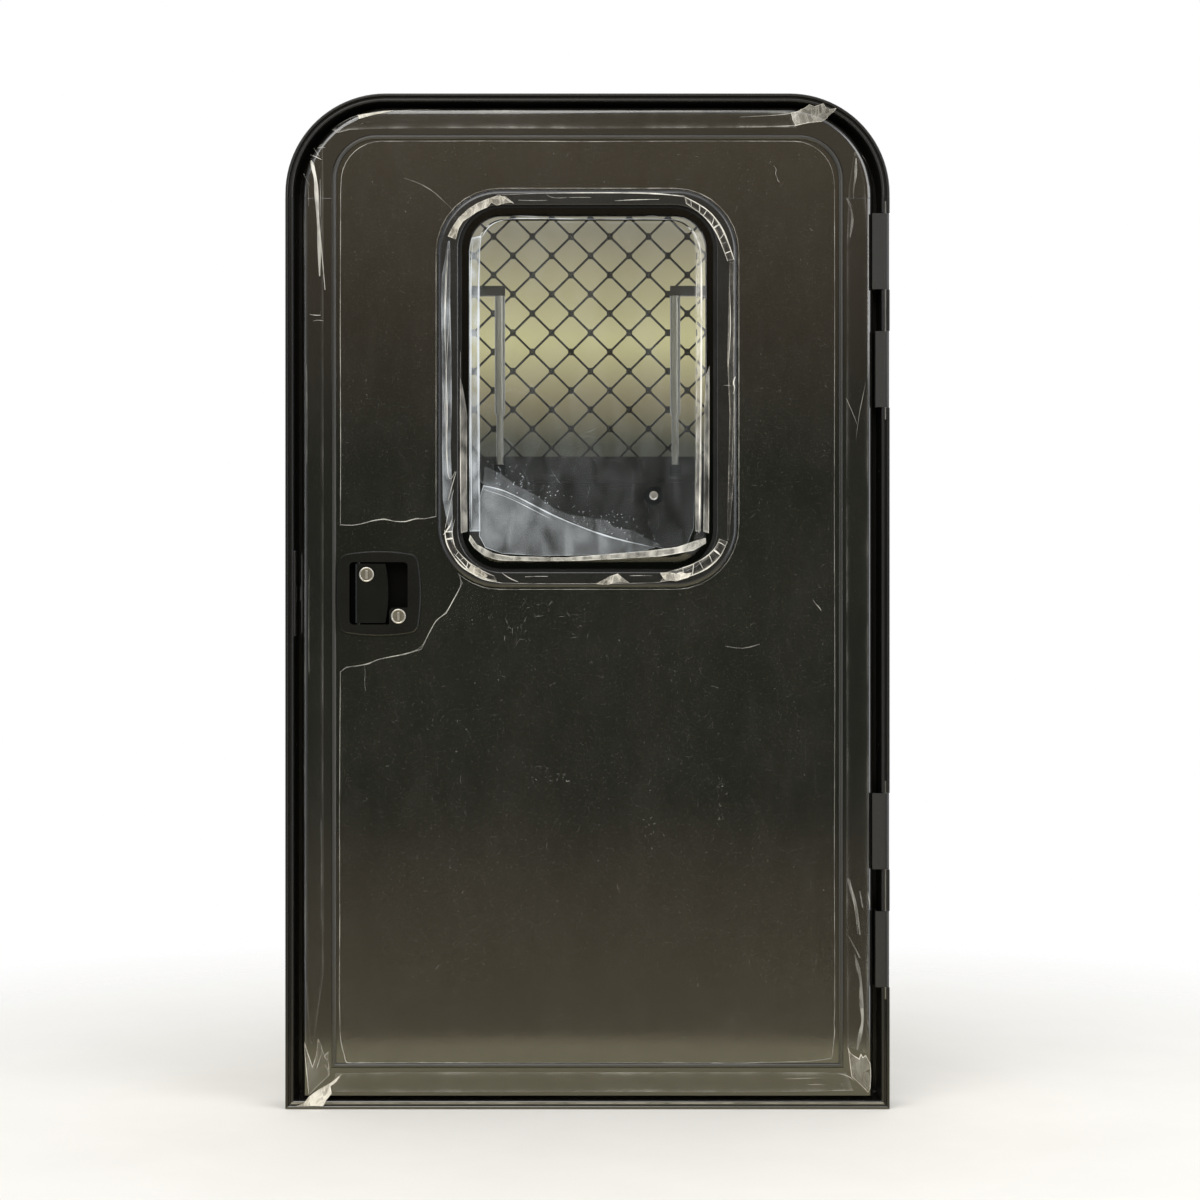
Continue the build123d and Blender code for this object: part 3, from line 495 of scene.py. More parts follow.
def ripple(x, z, size):  # steady wrinkle height from 0 to 1
    first = math.sin(x * 0.83 / size + math.sin(z * 0.31 / size) * 1.7)
    second = math.sin(z * 0.57 / size - x * 0.29 / size + 1.3)
    return abs(0.6 * first + 0.4 * second)


filmSet = {"gap": 0.10, "thick": 0.00008, "smooth": 40}


def paintHaze(piece, values):
    haze = piece.data.attributes.new("haze", "FLOAT", "POINT")
    for item, value in zip(haze.data, values):
        item.value = value


def finishFilm(piece, finish):
    thick = piece.modifiers.new("thick", "SOLIDIFY")
    thick.thickness = filmSet["thick"]
    thick.offset = 1.0
    applyAll(piece)
    bpy.ops.object.shade_smooth_by_angle(angle=math.radians(filmSet["smooth"]))
    settle(piece, finish, "door")


def filmSheet(name, kind, outline, look, finish="film"):  # a cut or torn sheet: bright rim, thin middle
    bpy.ops.mesh.primitive_circle_add(vertices=len(outline), radius=0.1, fill_type="NGON")
    sheet = named(name)
    for vertex, (x, z) in zip(sheet.data.vertices, outline):
        vertex.co = (x / 1000, 0.0, z / 1000)
    sheet.data.update()
    editAll()
    if sheet.data.polygons[0].normal.y > 0:
        bpy.ops.mesh.flip_normals()
    bpy.ops.mesh.inset(thickness=look["rim"] / 1000, depth=0.0)
    if look["cuts"]:
        bpy.ops.mesh.quads_convert_to_tris(quad_method="BEAUTY", ngon_method="BEAUTY")
        bpy.ops.mesh.subdivide(number_cuts=look["cuts"])
    bpy.ops.mesh.select_all(action="SELECT")
    bpy.ops.mesh.quads_convert_to_tris(quad_method="BEAUTY", ngon_method="BEAUTY")
    endEdit()
    values = []
    for vertex in sheet.data.vertices:
        x, z = vertex.co.x * 1000, vertex.co.z * 1000
        onRim = vertex.index < len(outline)
        lift = look["lift"] * ripple(x, z, look["fold"]) * (1.0 if onRim or look["cuts"] else 0.0)
        base = look["level"](x, z) if "level" in look else surfaceAt(kind, x, z)
        vertex.co.y = (base - filmSet["gap"] - lift) / 1000
        bright = ripple(x + 40.0, z - 25.0, look["fold"] * 2.1)
        values.append(look["edge"] * (0.35 + 0.65 * bright) if onRim else look["haze"])
    paintHaze(sheet, values)
    finishFilm(sheet, finish)


def along(points, share):  # point part of the way along a line of points
    runs = [math.dist(a, b) for a, b in zip(points, points[1:])]
    left = min(share, 0.99999) * sum(runs)  # the last point stays on the last run
    for start, end, run in zip(points, points[1:], runs):
        if left <= run:
            break
        left -= run
    part = min(left / run, 1.0)
    return start[0] + (end[0] - start[0]) * part, start[1] + (end[1] - start[1]) * part


def filmStrip(name, kind, first, second, look, finish="film"):  # a strip between two edges
    bpy.ops.mesh.primitive_grid_add(x_subdivisions=look["across"], y_subdivisions=look["along"], size=1.0)
    strip = named(name)
    values = []
    for vertex in strip.data.vertices:
        side, share = vertex.co.x + 0.5, vertex.co.y + 0.5
        start, end = along(first, share), along(second, share)
        x = start[0] + (end[0] - start[0]) * side
        z = start[1] + (end[1] - start[1]) * side
        lift = look["lift"] * ripple(x, z, look["fold"])
        vertex.co = (x / 1000, (surfaceAt(kind, x, z) - filmSet["gap"] - lift) / 1000, z / 1000)
        nearEdge = max(0.0, 1.0 - min(side, 1.0 - side) * look["across"] / 1.2)
        nearEnd = max(0.0, 1.0 - min(share, 1.0 - share) * look["along"] / 1.2)
        edge = max(nearEdge, nearEnd) * look["edge"] * (0.3 + 0.7 * ripple(x - 30.0, z, look["fold"] * 3.0))
        values.append(max(edge, look["haze"] * (0.5 + ripple(x, z, look["fold"]))))
    strip.data.update()
    if strip.data.polygons[0].normal.y > 0:
        strip.data.flip_normals()
    paintHaze(strip, values)
    finishFilm(strip, finish)


def hairScratches(seed, count, box, reach, width, keepOff):  # steady set of short hairlines and specks
    pick = random.Random(seed)
    lines = []
    while len(lines) < count:
        x, z = pick.uniform(box[0], box[1]), pick.uniform(box[2], box[3])
        length, turn, bend = pick.uniform(*reach), pick.uniform(0.0, math.pi), pick.uniform(-0.12, 0.12)
        thick = pick.uniform(*width)
        dx, dz = length * math.cos(turn), length * math.sin(turn)
        if not (keepOff(x, z) or keepOff(x + dx, z + dz)):
            middle = (x + dx / 2 - bend * dz, z + dz / 2 + bend * dx)
            lines.append((thick, [(x, z), middle, (x + dx, z + dz)]))
    return lines


creaseSet = {"tip": 0.25, "flat": 0.42, "back": 0.1, "faint": 0.25, "full": 0.3, "merge": 0.000001,
             "smooth": 50}


def filmCreases(name, kind, bright, lines, finish="film", fine=False):  # folds, torn threads and scratches
    bpy.ops.curve.primitive_nurbs_path_add()
    curve = named(name).data
    curve.splines.clear()
    for order, (width, points) in enumerate(lines):
        spline = curve.splines.new("NURBS")
        spline.points.add(len(points) - 1)
        for index, (x, z) in enumerate(points):
            swell = 0.65 + 0.35 * math.sin(index * 2.3 + order)
            atTip = index in (0, len(points) - 1)
            spline.points[index].co = (x / 1000, 0.0, z / 1000, 1.0)
            spline.points[index].radius = width / 2 * (creaseSet["tip"] if atTip else swell)
        spline.order_u = 3
        spline.use_endpoint_u = True
    curve.dimensions = "3D"
    curve.resolution_u = 2 if fine else 5
    curve.bevel_depth = 0.001
    curve.bevel_resolution = 0 if fine else 1
    curve.use_fill_caps = True
    bpy.ops.object.convert(target="MESH")
    creases = bpy.context.object
    editAll()
    bpy.ops.mesh.remove_doubles(threshold=creaseSet["merge"])
    bpy.ops.transform.resize(value=(1, creaseSet["flat"], 1), center_override=(0, 0, 0))
    bpy.ops.mesh.normals_make_consistent(inside=False)
    endEdit()
    values = []
    for vertex in creases.data.vertices:
        x, z = vertex.co.x * 1000, vertex.co.z * 1000
        height = -vertex.co.y * 1000
        values.append(bright * min(1.0, max(0.0, creaseSet["faint"] + height / creaseSet["full"])))
        flat = vertex.co.y * (creaseSet["back"] if height < 0 else 1.0)  # the back lies flat
        vertex.co.y = flat + (surfaceAt(kind, x, z) - filmSet["gap"]) / 1000
    paintHaze(creases, values)
    bpy.ops.object.shade_smooth_by_angle(angle=math.radians(creaseSet["smooth"]))
    settle(creases, finish, "door")


def roundCorner(middle, radius, angles):  # points round one corner, angles in degrees
    turns = [math.radians(angle) for angle in angles]
    return [(middle[0] + radius * math.cos(turn), middle[1] + radius * math.sin(turn)) for turn in turns]


def trimRound(grow, fromAngle, toAngle, steps, side, upDown):  # points round one corner of the window trim
    middleX = (trimFace["half"] - trimFace["corner"]) * side
    halfHeight = (trimFace["high"] - trimFace["low"]) / 2
    middleZ = trimFace["low"] + halfHeight + (halfHeight - trimFace["corner"]) * upDown
    angles = [fromAngle + (toAngle - fromAngle) * step / steps for step in range(steps + 1)]
    return roundCorner((middleX, middleZ), trimFace["corner"] + grow, angles)


panelCorner = {"side": 239, "rise": 1070, "radius": 47}
upperTear = [(-286.9, 671.6), (-274, 670.9), (-261.4, 672.8), (-250, 676.4), (-235.9, 678.6), (-224, 675.6),
             (-211.5, 675.1), (-199, 678.9), (-188.3, 678.6), (-175.4, 681.4)]
lowerTear = [(-286.9, 501.3), (-279.9, 507), (-268, 508.2), (-254.4, 510.5), (-243, 515.9), (-230.1, 518.6),
             (-212, 521.8), (-193, 527.9), (-184, 546), (-175.6, 561.5), (-164, 569.6), (-157, 582.2),
             (-151.2, 592.8), (-145.5, 604.4), (-148.8, 614.6)]
panelFilmEdge = (
    [(-287.4, 440), (-288, 330), (-287.6, 220), (-288.1, 121.1), (-287.6, 99.5), (-287.2, 82.2),
     (-286.2, 72.7), (-284.2, 63.2), (-282, 56.2), (-281.1, 50.6), (-279.4, 48), (-275.1, 47.6), (-200, 47.9),
     (-80, 47.4), (60, 47.8), (180, 47.3), (257.7, 49.3), (271.5, 51.2), (283.4, 52.8), (284.7, 60.6),
     (285.8, 72.7), (287.1, 86.5), (286.1, 94.3), (286.9, 102.1), (287.1, 121.1), (286.6, 300), (287.2, 480),
     (286.5, 700), (287, 900), (286.8, 1066)]
    + roundCorner((panelCorner["side"], panelCorner["rise"]), panelCorner["radius"], range(8, 91, 10))
    + [(120, 1117.2), (0, 1116.6), (-120, 1117.3)]
    + roundCorner((-panelCorner["side"], panelCorner["rise"]), panelCorner["radius"], range(92, 175, 10))
    + [(-286.6, 1060), (-287.1, 900), (-286.6, 760)]
    + upperTear
    + trimRound(1.8, 180, 90, 8, -1, 1) + trimRound(1.8, 90, 0, 8, 1, 1)
    + trimRound(1.8, 0, -90, 8, 1, -1) + trimRound(1.8, -90, -132, 5, -1, -1)
    + lowerTear[::-1][1:])
filmSheet("panelFilm", "panel", panelFilmEdge,
          {"rim": 0.9, "lift": 0.35, "fold": 3.0, "edge": 0.42, "haze": 0.002, "cuts": 0})
print("panel film laid")

filmStrip("leftBorderFilm", "leaf",
          [(-311, 1112), (-322.3, 1093), (-327, 1075), (-329, 1040), (-328.2, 700), (-328.8, 400),
           (-328, 150), (-321, 70)],
          [(-307.1, 1114), (-306.8, 1100), (-306.5, 1088), (-306.3, 1073), (-306, 700), (-306.3, 400),
           (-306, 150), (-318, 70)],
          {"across": 10, "along": 190, "lift": 0.12, "fold": 6.0, "edge": 0.05, "haze": 0.0010})
filmStrip("topBorderFilm", "leaf",
          [(-297.2, 1131.1), (-285.6, 1139.2), (-266.5, 1147.4), (-236.9, 1151), (-171, 1152.4), (0, 1152.6),
           (176.7, 1152.2), (241.7, 1150.3)],
          [(-290, 1126), (-276, 1129.6), (-256, 1130.6), (-236, 1131.2), (-171, 1131.6), (0, 1131.2),
           (176.7, 1132), (241.7, 1132.6)],
          {"across": 6, "along": 110, "lift": 0.12, "fold": 6.0, "edge": 0.14, "haze": 0.003})
filmStrip("rightBorderFilm", "leaf",
          [(309.5, 1104), (303, 1064), (300.6, 1000), (300.6, 900), (299.8, 700), (300.4, 400), (300, 200),
           (301.4, 67.5)],
          [(312.5, 1104), (321.5, 1068), (326, 1000), (325.6, 900), (325.6, 700), (325.9, 400), (326, 200),
           (325, 58)],
          {"across": 10, "along": 190, "lift": 0.12, "fold": 6.0, "edge": 0.05, "haze": 0.0010})
filmStrip("bottomBorderFilm", "leaf",
          [(-292, 36), (-200, 37.5), (0, 37.2), (200, 37.6), (300, 36.5)],
          [(-296, 14.5), (-200, 14), (0, 14.4), (200, 14), (308, 15.5)],
          {"across": 6, "along": 120, "lift": 0.12, "fold": 6.0, "edge": 0.09, "haze": 0.003})
print("border film laid")


tailSet = {"foot": 10.15, "past": 3.0, "run": 13.0, "flat": -9.4, "hang": -13.4}
flapSet = {"inset": 2.0, "run": 8.0, "flat": -9.2, "rise": 4.4}


def tailLevel(x, z):  # the loose corner flap leaves the leaf and hangs over the sill
    reach = min(x + leafFace["half"], z - tailSet["foot"]) + tailSet["past"]
    inside = min(max(reach / tailSet["run"], 0.0), 1.0)
    return tailSet["hang"] + (tailSet["flat"] - tailSet["hang"]) * inside


def flapLevel(x, z):  # the stiff top flap leaves the leaf's edge and rides over the frame's lip
    out = (flapSet["inset"] - insetFrom(leafFace, x, z, True)) / flapSet["run"]
    return flapSet["flat"] - flapSet["rise"] * min(max(out, 0.0), 1.0)


filmSheet("cornerTailFilm", "leaf",
          [(-328.3, 72.7), (-324.4, 60.6), (-318.8, 44.1), (-314.9, 55.4), (-313.1, 69.2), (-312.3, 76.1),
           (-308.8, 69.2), (-307.1, 62.3), (-304.5, 57.1), (-300.2, 61.4), (-301, 53.6), (-299.7, 45),
           (-299.3, 33.8), (-309.7, 24.2), (-320.9, 13), (-323.1, 11.6), (-324.4, 21.6), (-326.1, 38.9),
           (-327.7, 56.2)],
          {"rim": 0.8, "lift": 0.7, "fold": 2.6, "edge": 0.6, "haze": 0.034, "cuts": 3}, "crumple")
filmSheet("cornerFlapFilm", "leaf",
          [(-337.6, -1.4), (-328.7, 1.8), (-322.6, 9.5), (-317, 13.9), (-311.4, 17.3), (-304, 21.8),
           (-297.6, 25.1), (-291, 30.6), (-284.6, 35.5), (-287.2, 31.4), (-290.6, 26.8), (-294.2, 23.6),
           (-297.6, 21.6), (-296.3, 13), (-301.9, 6.1), (-305.8, -1.4), (-316, -1), (-327, -1.3)],
          {"rim": 0.8, "lift": 1.1, "fold": 2.4, "edge": 0.85, "haze": 0.62, "cuts": 3,
           "level": tailLevel}, "crumple")
filmSheet("topFlapFilm", "leaf",
          [(236, 1149.3), (241.7, 1150.3), (247, 1152.9), (252.2, 1154.9), (256.8, 1158.4), (262.6, 1156),
           (268, 1157.6), (273.1, 1159.4), (275.4, 1154.9), (281.2, 1152.6), (288, 1153.6), (285.3, 1149.7),
           (281.2, 1146.8), (276.5, 1142.1), (271.9, 1139.2), (265, 1138.4), (258, 1138.1), (250, 1136.4),
           (241.7, 1134), (237.5, 1141)],
          {"rim": 0.7, "lift": 2.0, "fold": 2.6, "edge": 0.6, "haze": 0.11, "cuts": 3,
           "level": flapLevel}, "crumple")
filmSheet("footPatchFilm", "leaf",
          [(301.4, 67.5), (305.3, 58.8), (314.8, 52.8), (316.9, 58.8), (319.1, 54.5), (322.6, 57.1),
           (325.2, 51.9), (328.2, 47.1), (328.6, 39.3), (328.9, 31.6), (328.4, 24.7), (328, 18.2),
           (325.2, 13.5), (321.7, 17.3), (313.9, 25.1), (306.1, 32), (304.4, 45), (303.1, 57.1)],
          {"rim": 0.8, "lift": 0.6, "fold": 2.6, "edge": 0.85, "haze": 0.05, "cuts": 3}, "crumple")
filmSheet("topWedgeFilm", "leaf",
          [(-267, 1147), (-258, 1148.4), (-248.5, 1149.4), (-236, 1151.4), (-224, 1152), (-236, 1149.6),
           (-248.5, 1146.7), (-258, 1144.4), (-264.6, 1142.4)],
          {"rim": 0.5, "lift": 0.9, "fold": 2.2, "edge": 0.8, "haze": 0.3, "cuts": 2}, "crumple")
print("loose flaps laid")

leafLines = [
    (1.6, [(-317.6, 1092), (-313.6, 1070.7), (-311.6, 1050.3), (-309.9, 1028.9)]),
    (1.0, [(-310, 1072), (-309.4, 1040.7), (-308.6, 1010.3)]),
    (2.6, [(-330, 1080), (-326.8, 1073.7), (-322.2, 1065.5)]),
    (1.2, [(-324.4, 1070), (-322.8, 1055.7), (-323.2, 1041.5)]),
    (1.2, [(-318.1, 1109.6), (-314, 1103.8), (-311, 1099)]),
    (1.4, [(-322.2, 1102.1), (-315.8, 1098.6), (-308.2, 1095.1)]),
    (0.9, [(-313.5, 1108.8), (-307.7, 1110.2), (-304, 1109)]),
    (1.1, [(-297.2, 1131.1), (-285.6, 1139.2), (-266.5, 1147.4), (-260.1, 1146.8), (-236.9, 1151),
           (-207.9, 1152.7), (-171, 1153.4)]),
    (2.4, [(-266.5, 1147.4), (-264.1, 1145), (-265.3, 1142.7)]),
    (1.3, [(-264.1, 1145), (-248.5, 1147.7), (-232.2, 1151)]),
    (0.8, [(-186.4, 1146.2), (-186.7, 1142.1)]),
    (0.9, [(-262.4, 1136.6), (-260.1, 1137.5)]),
    (0.9, [(-255.4, 1138.1), (-252.9, 1139.1)]),
    (0.9, [(-233.4, 1149.7), (-231.1, 1147)]),
    (1.0, [(176.7, 1144.5), (200, 1145.6), (229, 1147.4), (241.7, 1150.3), (251, 1152.2)]),
    (1.0, [(176.7, 1133.4), (205.8, 1133.4), (239.4, 1134.2), (251, 1136.9), (260.3, 1138.1),
           (271.9, 1139.2)]),
    (0.9, [(318.9, 1100.4), (322.2, 1097.1), (325, 1090.4)]),
    (0.9, [(304.2, 260.2), (310, 231.2), (313.5, 196.4)]),
    (0.8, [(299.6, 818.8), (305.4, 807.2), (312.4, 788.7)]),
    (0.8, [(322.8, 837.4), (318.1, 816.5), (313.5, 791), (311.2, 770.1)]),
    (1.0, [(325.2, 96.9), (325.6, 89.1)]),
    (1.4, [(-328.5, 70.1), (-324.4, 58.8), (-319.6, 45), (-318.3, 41.5)]),
    (1.2, [(-307.1, 62.3), (-310.5, 51.9), (-314, 41.5), (-315.7, 33.8)]),
    (1.0, [(-304.5, 45.9), (-301, 41.5), (-300.2, 34.6)]),
    (1.0, [(-300.2, 60.6), (-305.4, 57.1), (-303.6, 52.8), (-301, 51.9)]),
    (1.1, [(-327.7, 56.2), (-325.7, 40.7), (-323.9, 21.6), (-323.1, 12)]),
    (1.3, [(-299.3, 33.8), (-309.7, 24.2), (-320.9, 13)]),
    (1.0, [(-271.6, 33.3), (-269.5, 33.3)]),
    (1.0, [(-277.2, 32.9), (-275.5, 32.9)]),
    (1.0, [(-291.5, 18.6), (-289.8, 19.5)]),
    (0.7, [(227.4, 29.4), (244.7, 29.9), (271.5, 30.7)]),
    (0.8, [(255.1, 22.9), (266.3, 22.5), (276.7, 23.4)]),
    (1.2, [(290.6, 35.5), (302.7, 34.2), (308.3, 27.7)]),
    (0.9, [(283.6, 16), (296.6, 16), (309.6, 16.5)]),
    (1.0, [(293.2, 24.7), (296.6, 21.2)]),
    (1.0, [(310, 20.8), (313, 18.6)]),
    (1.5, [(-322, 916), (-316, 914), (-309, 915)]),
    (1.0, [(-318, 908), (-312, 910), (-306, 908)]),
    (0.7, [(-325.6, 860), (-325, 800), (-325.4, 742)]),
    (0.7, [(-322.6, 620), (-323.4, 560), (-322.8, 500)]),
    (0.7, [(-309, 330), (-308.2, 270), (-308.8, 214)]),
]
filmCreases("leafCreases", "leaf", 0.85, leafLines)
softLines = [  # wide shallow folds
    (6.0, [(-321.6, 1098), (-318.1, 1085.3), (-316, 1073.7), (-314.6, 1056.3), (-312.9, 1038.9),
           (-312.1, 1015.6), (-310.9, 996.1), (-310.5, 960)]),
    (3.4, [(-314.2, 1060.5), (-311.2, 1020.5), (-307.7, 984.6), (-304.2, 944)]),
]
filmCreases("leftSoftCreases", "leaf", 0.5, softLines)
softLines = [
    (6.4, [(310, 173.3), (313.5, 158.2), (317, 144.3), (317, 126.9), (318.1, 109.5), (319.3, 95.6),
           (315.8, 80.5), (312.4, 63.1)]),
    (8.0, [(301.9, 262), (306.6, 245.1), (312.4, 225.4), (315.8, 196.4)]),
    (7.0, [(303.1, 194.1), (310, 181.4), (315.8, 169.8)]),
    (5.0, [(315.6, 247), (317.4, 237), (319.3, 227.7)]),
    (3.6, [(325, 246), (326.6, 238), (327.6, 230)]),
    (4.4, [(311.4, 1096.9), (311.1, 1085.3), (310.8, 1073.7), (307.9, 1060.9), (308.5, 1049.3)]),
    (4.4, [(300.3, 1051), (303.2, 1044.7), (305.6, 1038.9), (307.3, 1026.1), (306.1, 1015.6),
           (304.4, 1005.2)]),
]
filmCreases("rightSoftCreases", "leaf", 0.2, softLines)

panelLines = [
    (0.95, upperTear),
    (0.95, lowerTear),
    (0.6, [(-258.4, 508), (-257.6, 498), (-259, 488), (-257, 478)]),
    (0.7, [(-212.7, 1073.8), (-199.9, 1070.3), (-182.5, 1061.1), (-171, 1051.8), (-154.7, 1035.6)]),
    (0.8, [(215.6, 1088.8), (219.9, 1084.3), (217.4, 1079.5), (219.9, 1074.8), (220.8, 1070.2),
           (223.4, 1068.8)]),
    (0.8, [(-287.2, 82.2), (-286.2, 72.7), (-284.2, 63.2), (-282, 56.2), (-281.1, 50.6), (-279.4, 48)]),
    (0.8, [(286.1, 94.3), (287.1, 86.5), (285.8, 72.7), (284.7, 60.6), (283.4, 52.8), (271.5, 51.2)]),
    (0.6, [(-60, 391), (-56.5, 392.4), (-52, 391.6)]),
    (1.3, [(159.4, 531.4), (174.4, 527.9), (190.7, 530.2), (199.9, 533.7)]),
    (1.5, [(261.5, 585), (264, 580), (268.5, 577), (271.2, 572)]),
]
filmCreases("panelCreases", "panel", 0.8, panelLines)


scratchSet = {"lockSide": -140, "lockRise": (495, 690), "trimGap": 6.0, "half": 282, "rise": (52, 1108),
              "domeGap": 6.0, "frost": (1.5, 32.0)}


def within(value, limits):
    return limits[0] < value < limits[1]


def offPanelFilm(x, z):  # keeps hairlines off the window, the lock and the bare patch round it
    besideLock = x < scratchSet["lockSide"] and within(z, scratchSet["lockRise"])
    onTrim = insetFrom(trimFace, x, z, False) > -scratchSet["trimGap"]
    onPanel = abs(x) <= scratchSet["half"] and within(z, scratchSet["rise"])
    return besideLock or onTrim or not onPanel


panelHairs = []
for seed, count, box, reach, width in (
        (3, 170, (-280, 280, 55, 1105), (1.5, 10), (0.16, 0.3)),
        (5, 900, (-280, 280, 55, 1105), (0.4, 1.3), (0.35, 0.85)),
        (8, 34, (-120, 0, 530, 580), (2, 9), (0.26, 0.44)),
        (9, 24, (-74, -18, 372, 390), (1, 4.5), (0.45, 0.8)),
        (10, 16, (-275, -150, 440, 494), (1.5, 5), (0.2, 0.4)),
        (31, 26, (151, 161, 317, 382), (0.8, 3.2), (0.45, 0.8)),
        (32, 16, (66, 78, 286, 332), (0.8, 3.2), (0.45, 0.8))):
    panelHairs += hairScratches(seed, count, box, reach, width, offPanelFilm)
filmCreases("panelHairlines", "panel", 0.9, panelHairs, "film", True)
print("creases laid")


def shifted(points, dx, dz):
    return [(x + dx, z + dz) for x, z in points]


ladderOuter = [(112.4, 1051.3), (127.9, 1043.5), (143.4, 1032.7), (155.8, 1015.6), (163.6, 997),
               (169.8, 978.3)]
ladderInner = [(113.9, 1043.5), (127.9, 1034.8), (140.3, 1023.4), (149.6, 1009.4), (157.4, 990.8),
               (162.1, 976.8)]
sideOuter = [(-165.2, 665.8), (-164.6, 656.6), (-161.6, 646.1), (-156, 636.2), (-147.4, 624.8),
             (-136.2, 616.6), (-121.1, 609.7), (-104.9, 606.2)]
sideInner = [(-157, 665.8), (-155.9, 654.2), (-152.4, 643.8), (-144.3, 634.7), (-136.2, 627), (-126.9, 621.9),
             (-117.6, 616), (-108, 612.6)]
footOuter = [(162.1, 652.4), (155.8, 636.9), (143.4, 624.4), (131, 616.7), (109.3, 608.9), (84.4, 605.8)]
footInner = [(152.7, 655.5), (149.6, 646.2), (138.8, 635.3), (127.9, 629.1), (115.5, 622.9), (92, 617)]
filmStrip("trimLadderTop", "trim", ladderOuter, ladderInner,
          {"across": 5, "along": 44, "lift": 0.8, "fold": 2.4, "edge": 0.2, "haze": 0.008}, "crumple")
filmStrip("trimLadderFoot", "trim", footOuter, footInner,
          {"across": 5, "along": 44, "lift": 0.8, "fold": 2.4, "edge": 0.2, "haze": 0.008}, "crumple")
filmStrip("trimLadderSide", "trim", sideOuter, sideInner,
          {"across": 5, "along": 44, "lift": 0.6, "fold": 2.4, "edge": 0.16, "haze": 0.012}, "crumple")
filmSheet("trimChunkFilm", "trim",
          [(-161.6, 1005.5), (-156.4, 1016), (-148.9, 1027), (-138.5, 1036.9), (-126.9, 1044.2),
           (-115.3, 1049), (-104.9, 1052.4), (-94.5, 1051.4), (-86.3, 1044.9), (-95.6, 1043.6),
           (-104.9, 1041), (-111, 1044.4), (-116, 1038.9), (-126.9, 1034.3), (-136.2, 1028), (-143.8, 1022.9),
           (-148.9, 1014.8), (-152.4, 1002)],
          {"rim": 0.8, "lift": 1.0, "fold": 2.2, "edge": 0.9, "haze": 0.3, "cuts": 3}, "crumple")
filmSheet("trimPatchFilm", "trim",
          [(-138.5, 619.4), (-134.6, 625.2), (-129.4, 621.2), (-125.8, 622.4), (-121, 617.4), (-115.3, 612.5),
           (-119.6, 609.5), (-125, 612.6), (-130, 613.7)],
          {"rim": 0.7, "lift": 1.0, "fold": 2.0, "edge": 0.8, "haze": 0.3, "cuts": 3}, "crumple")
filmSheet("trimTornFilm", "trim",
          [(84, 616), (88.7, 608.4), (102.6, 606.4), (116.5, 610.4), (121, 616.6), (114.2, 615.2),
           (108, 617.4), (102.6, 614.9), (95, 616.6)],
          {"rim": 0.7, "lift": 1.0, "fold": 2.0, "edge": 0.8, "haze": 0.3, "cuts": 3}, "crumple")
filmSheet("trimCrumpleFilm", "trim",
          [(9.9, 603.2), (25.5, 612), (34.8, 615.1), (42.5, 608.9), (48.7, 604.3), (34.8, 605),
           (22.4, 602.2)],
          {"rim": 0.7, "lift": 1.0, "fold": 2.0, "edge": 0.7, "haze": 0.2, "cuts": 3}, "crumple")
# film on the trim's left side; its bluish haze, much stronger than on the right, is also a painted highlight
filmStrip("trimLeftFilmAndHighlight", "trim",
          [(-161.3, 1000.3), (-168.5, 960), (-169.5, 931.8), (-168.5, 869.7), (-168.1, 807.6), (-168.3, 761),
           (-167.4, 700), (-157.8, 652)],
          [(-159.3, 1000), (-158.5, 975), (-159, 931.8), (-157.5, 869.7), (-157, 807.6), (-158.3, 761),
           (-156.2, 700), (-155.8, 652)],
          {"across": 5, "along": 140, "lift": 0.3, "fold": 4.0, "edge": 0.3, "haze": 0.11}, "paneFilm")
filmStrip("trimRightFilm", "trim",
          [(164.5, 976), (163, 910), (162, 860), (164.5, 800), (163, 730), (161.5, 654)],
          [(168.8, 976), (170.3, 910), (169.5, 860), (171, 800), (170, 730), (163.5, 654)],
          {"across": 5, "along": 140, "lift": 0.3, "fold": 4.0, "edge": 0.18, "haze": 0.014}, "crumple")
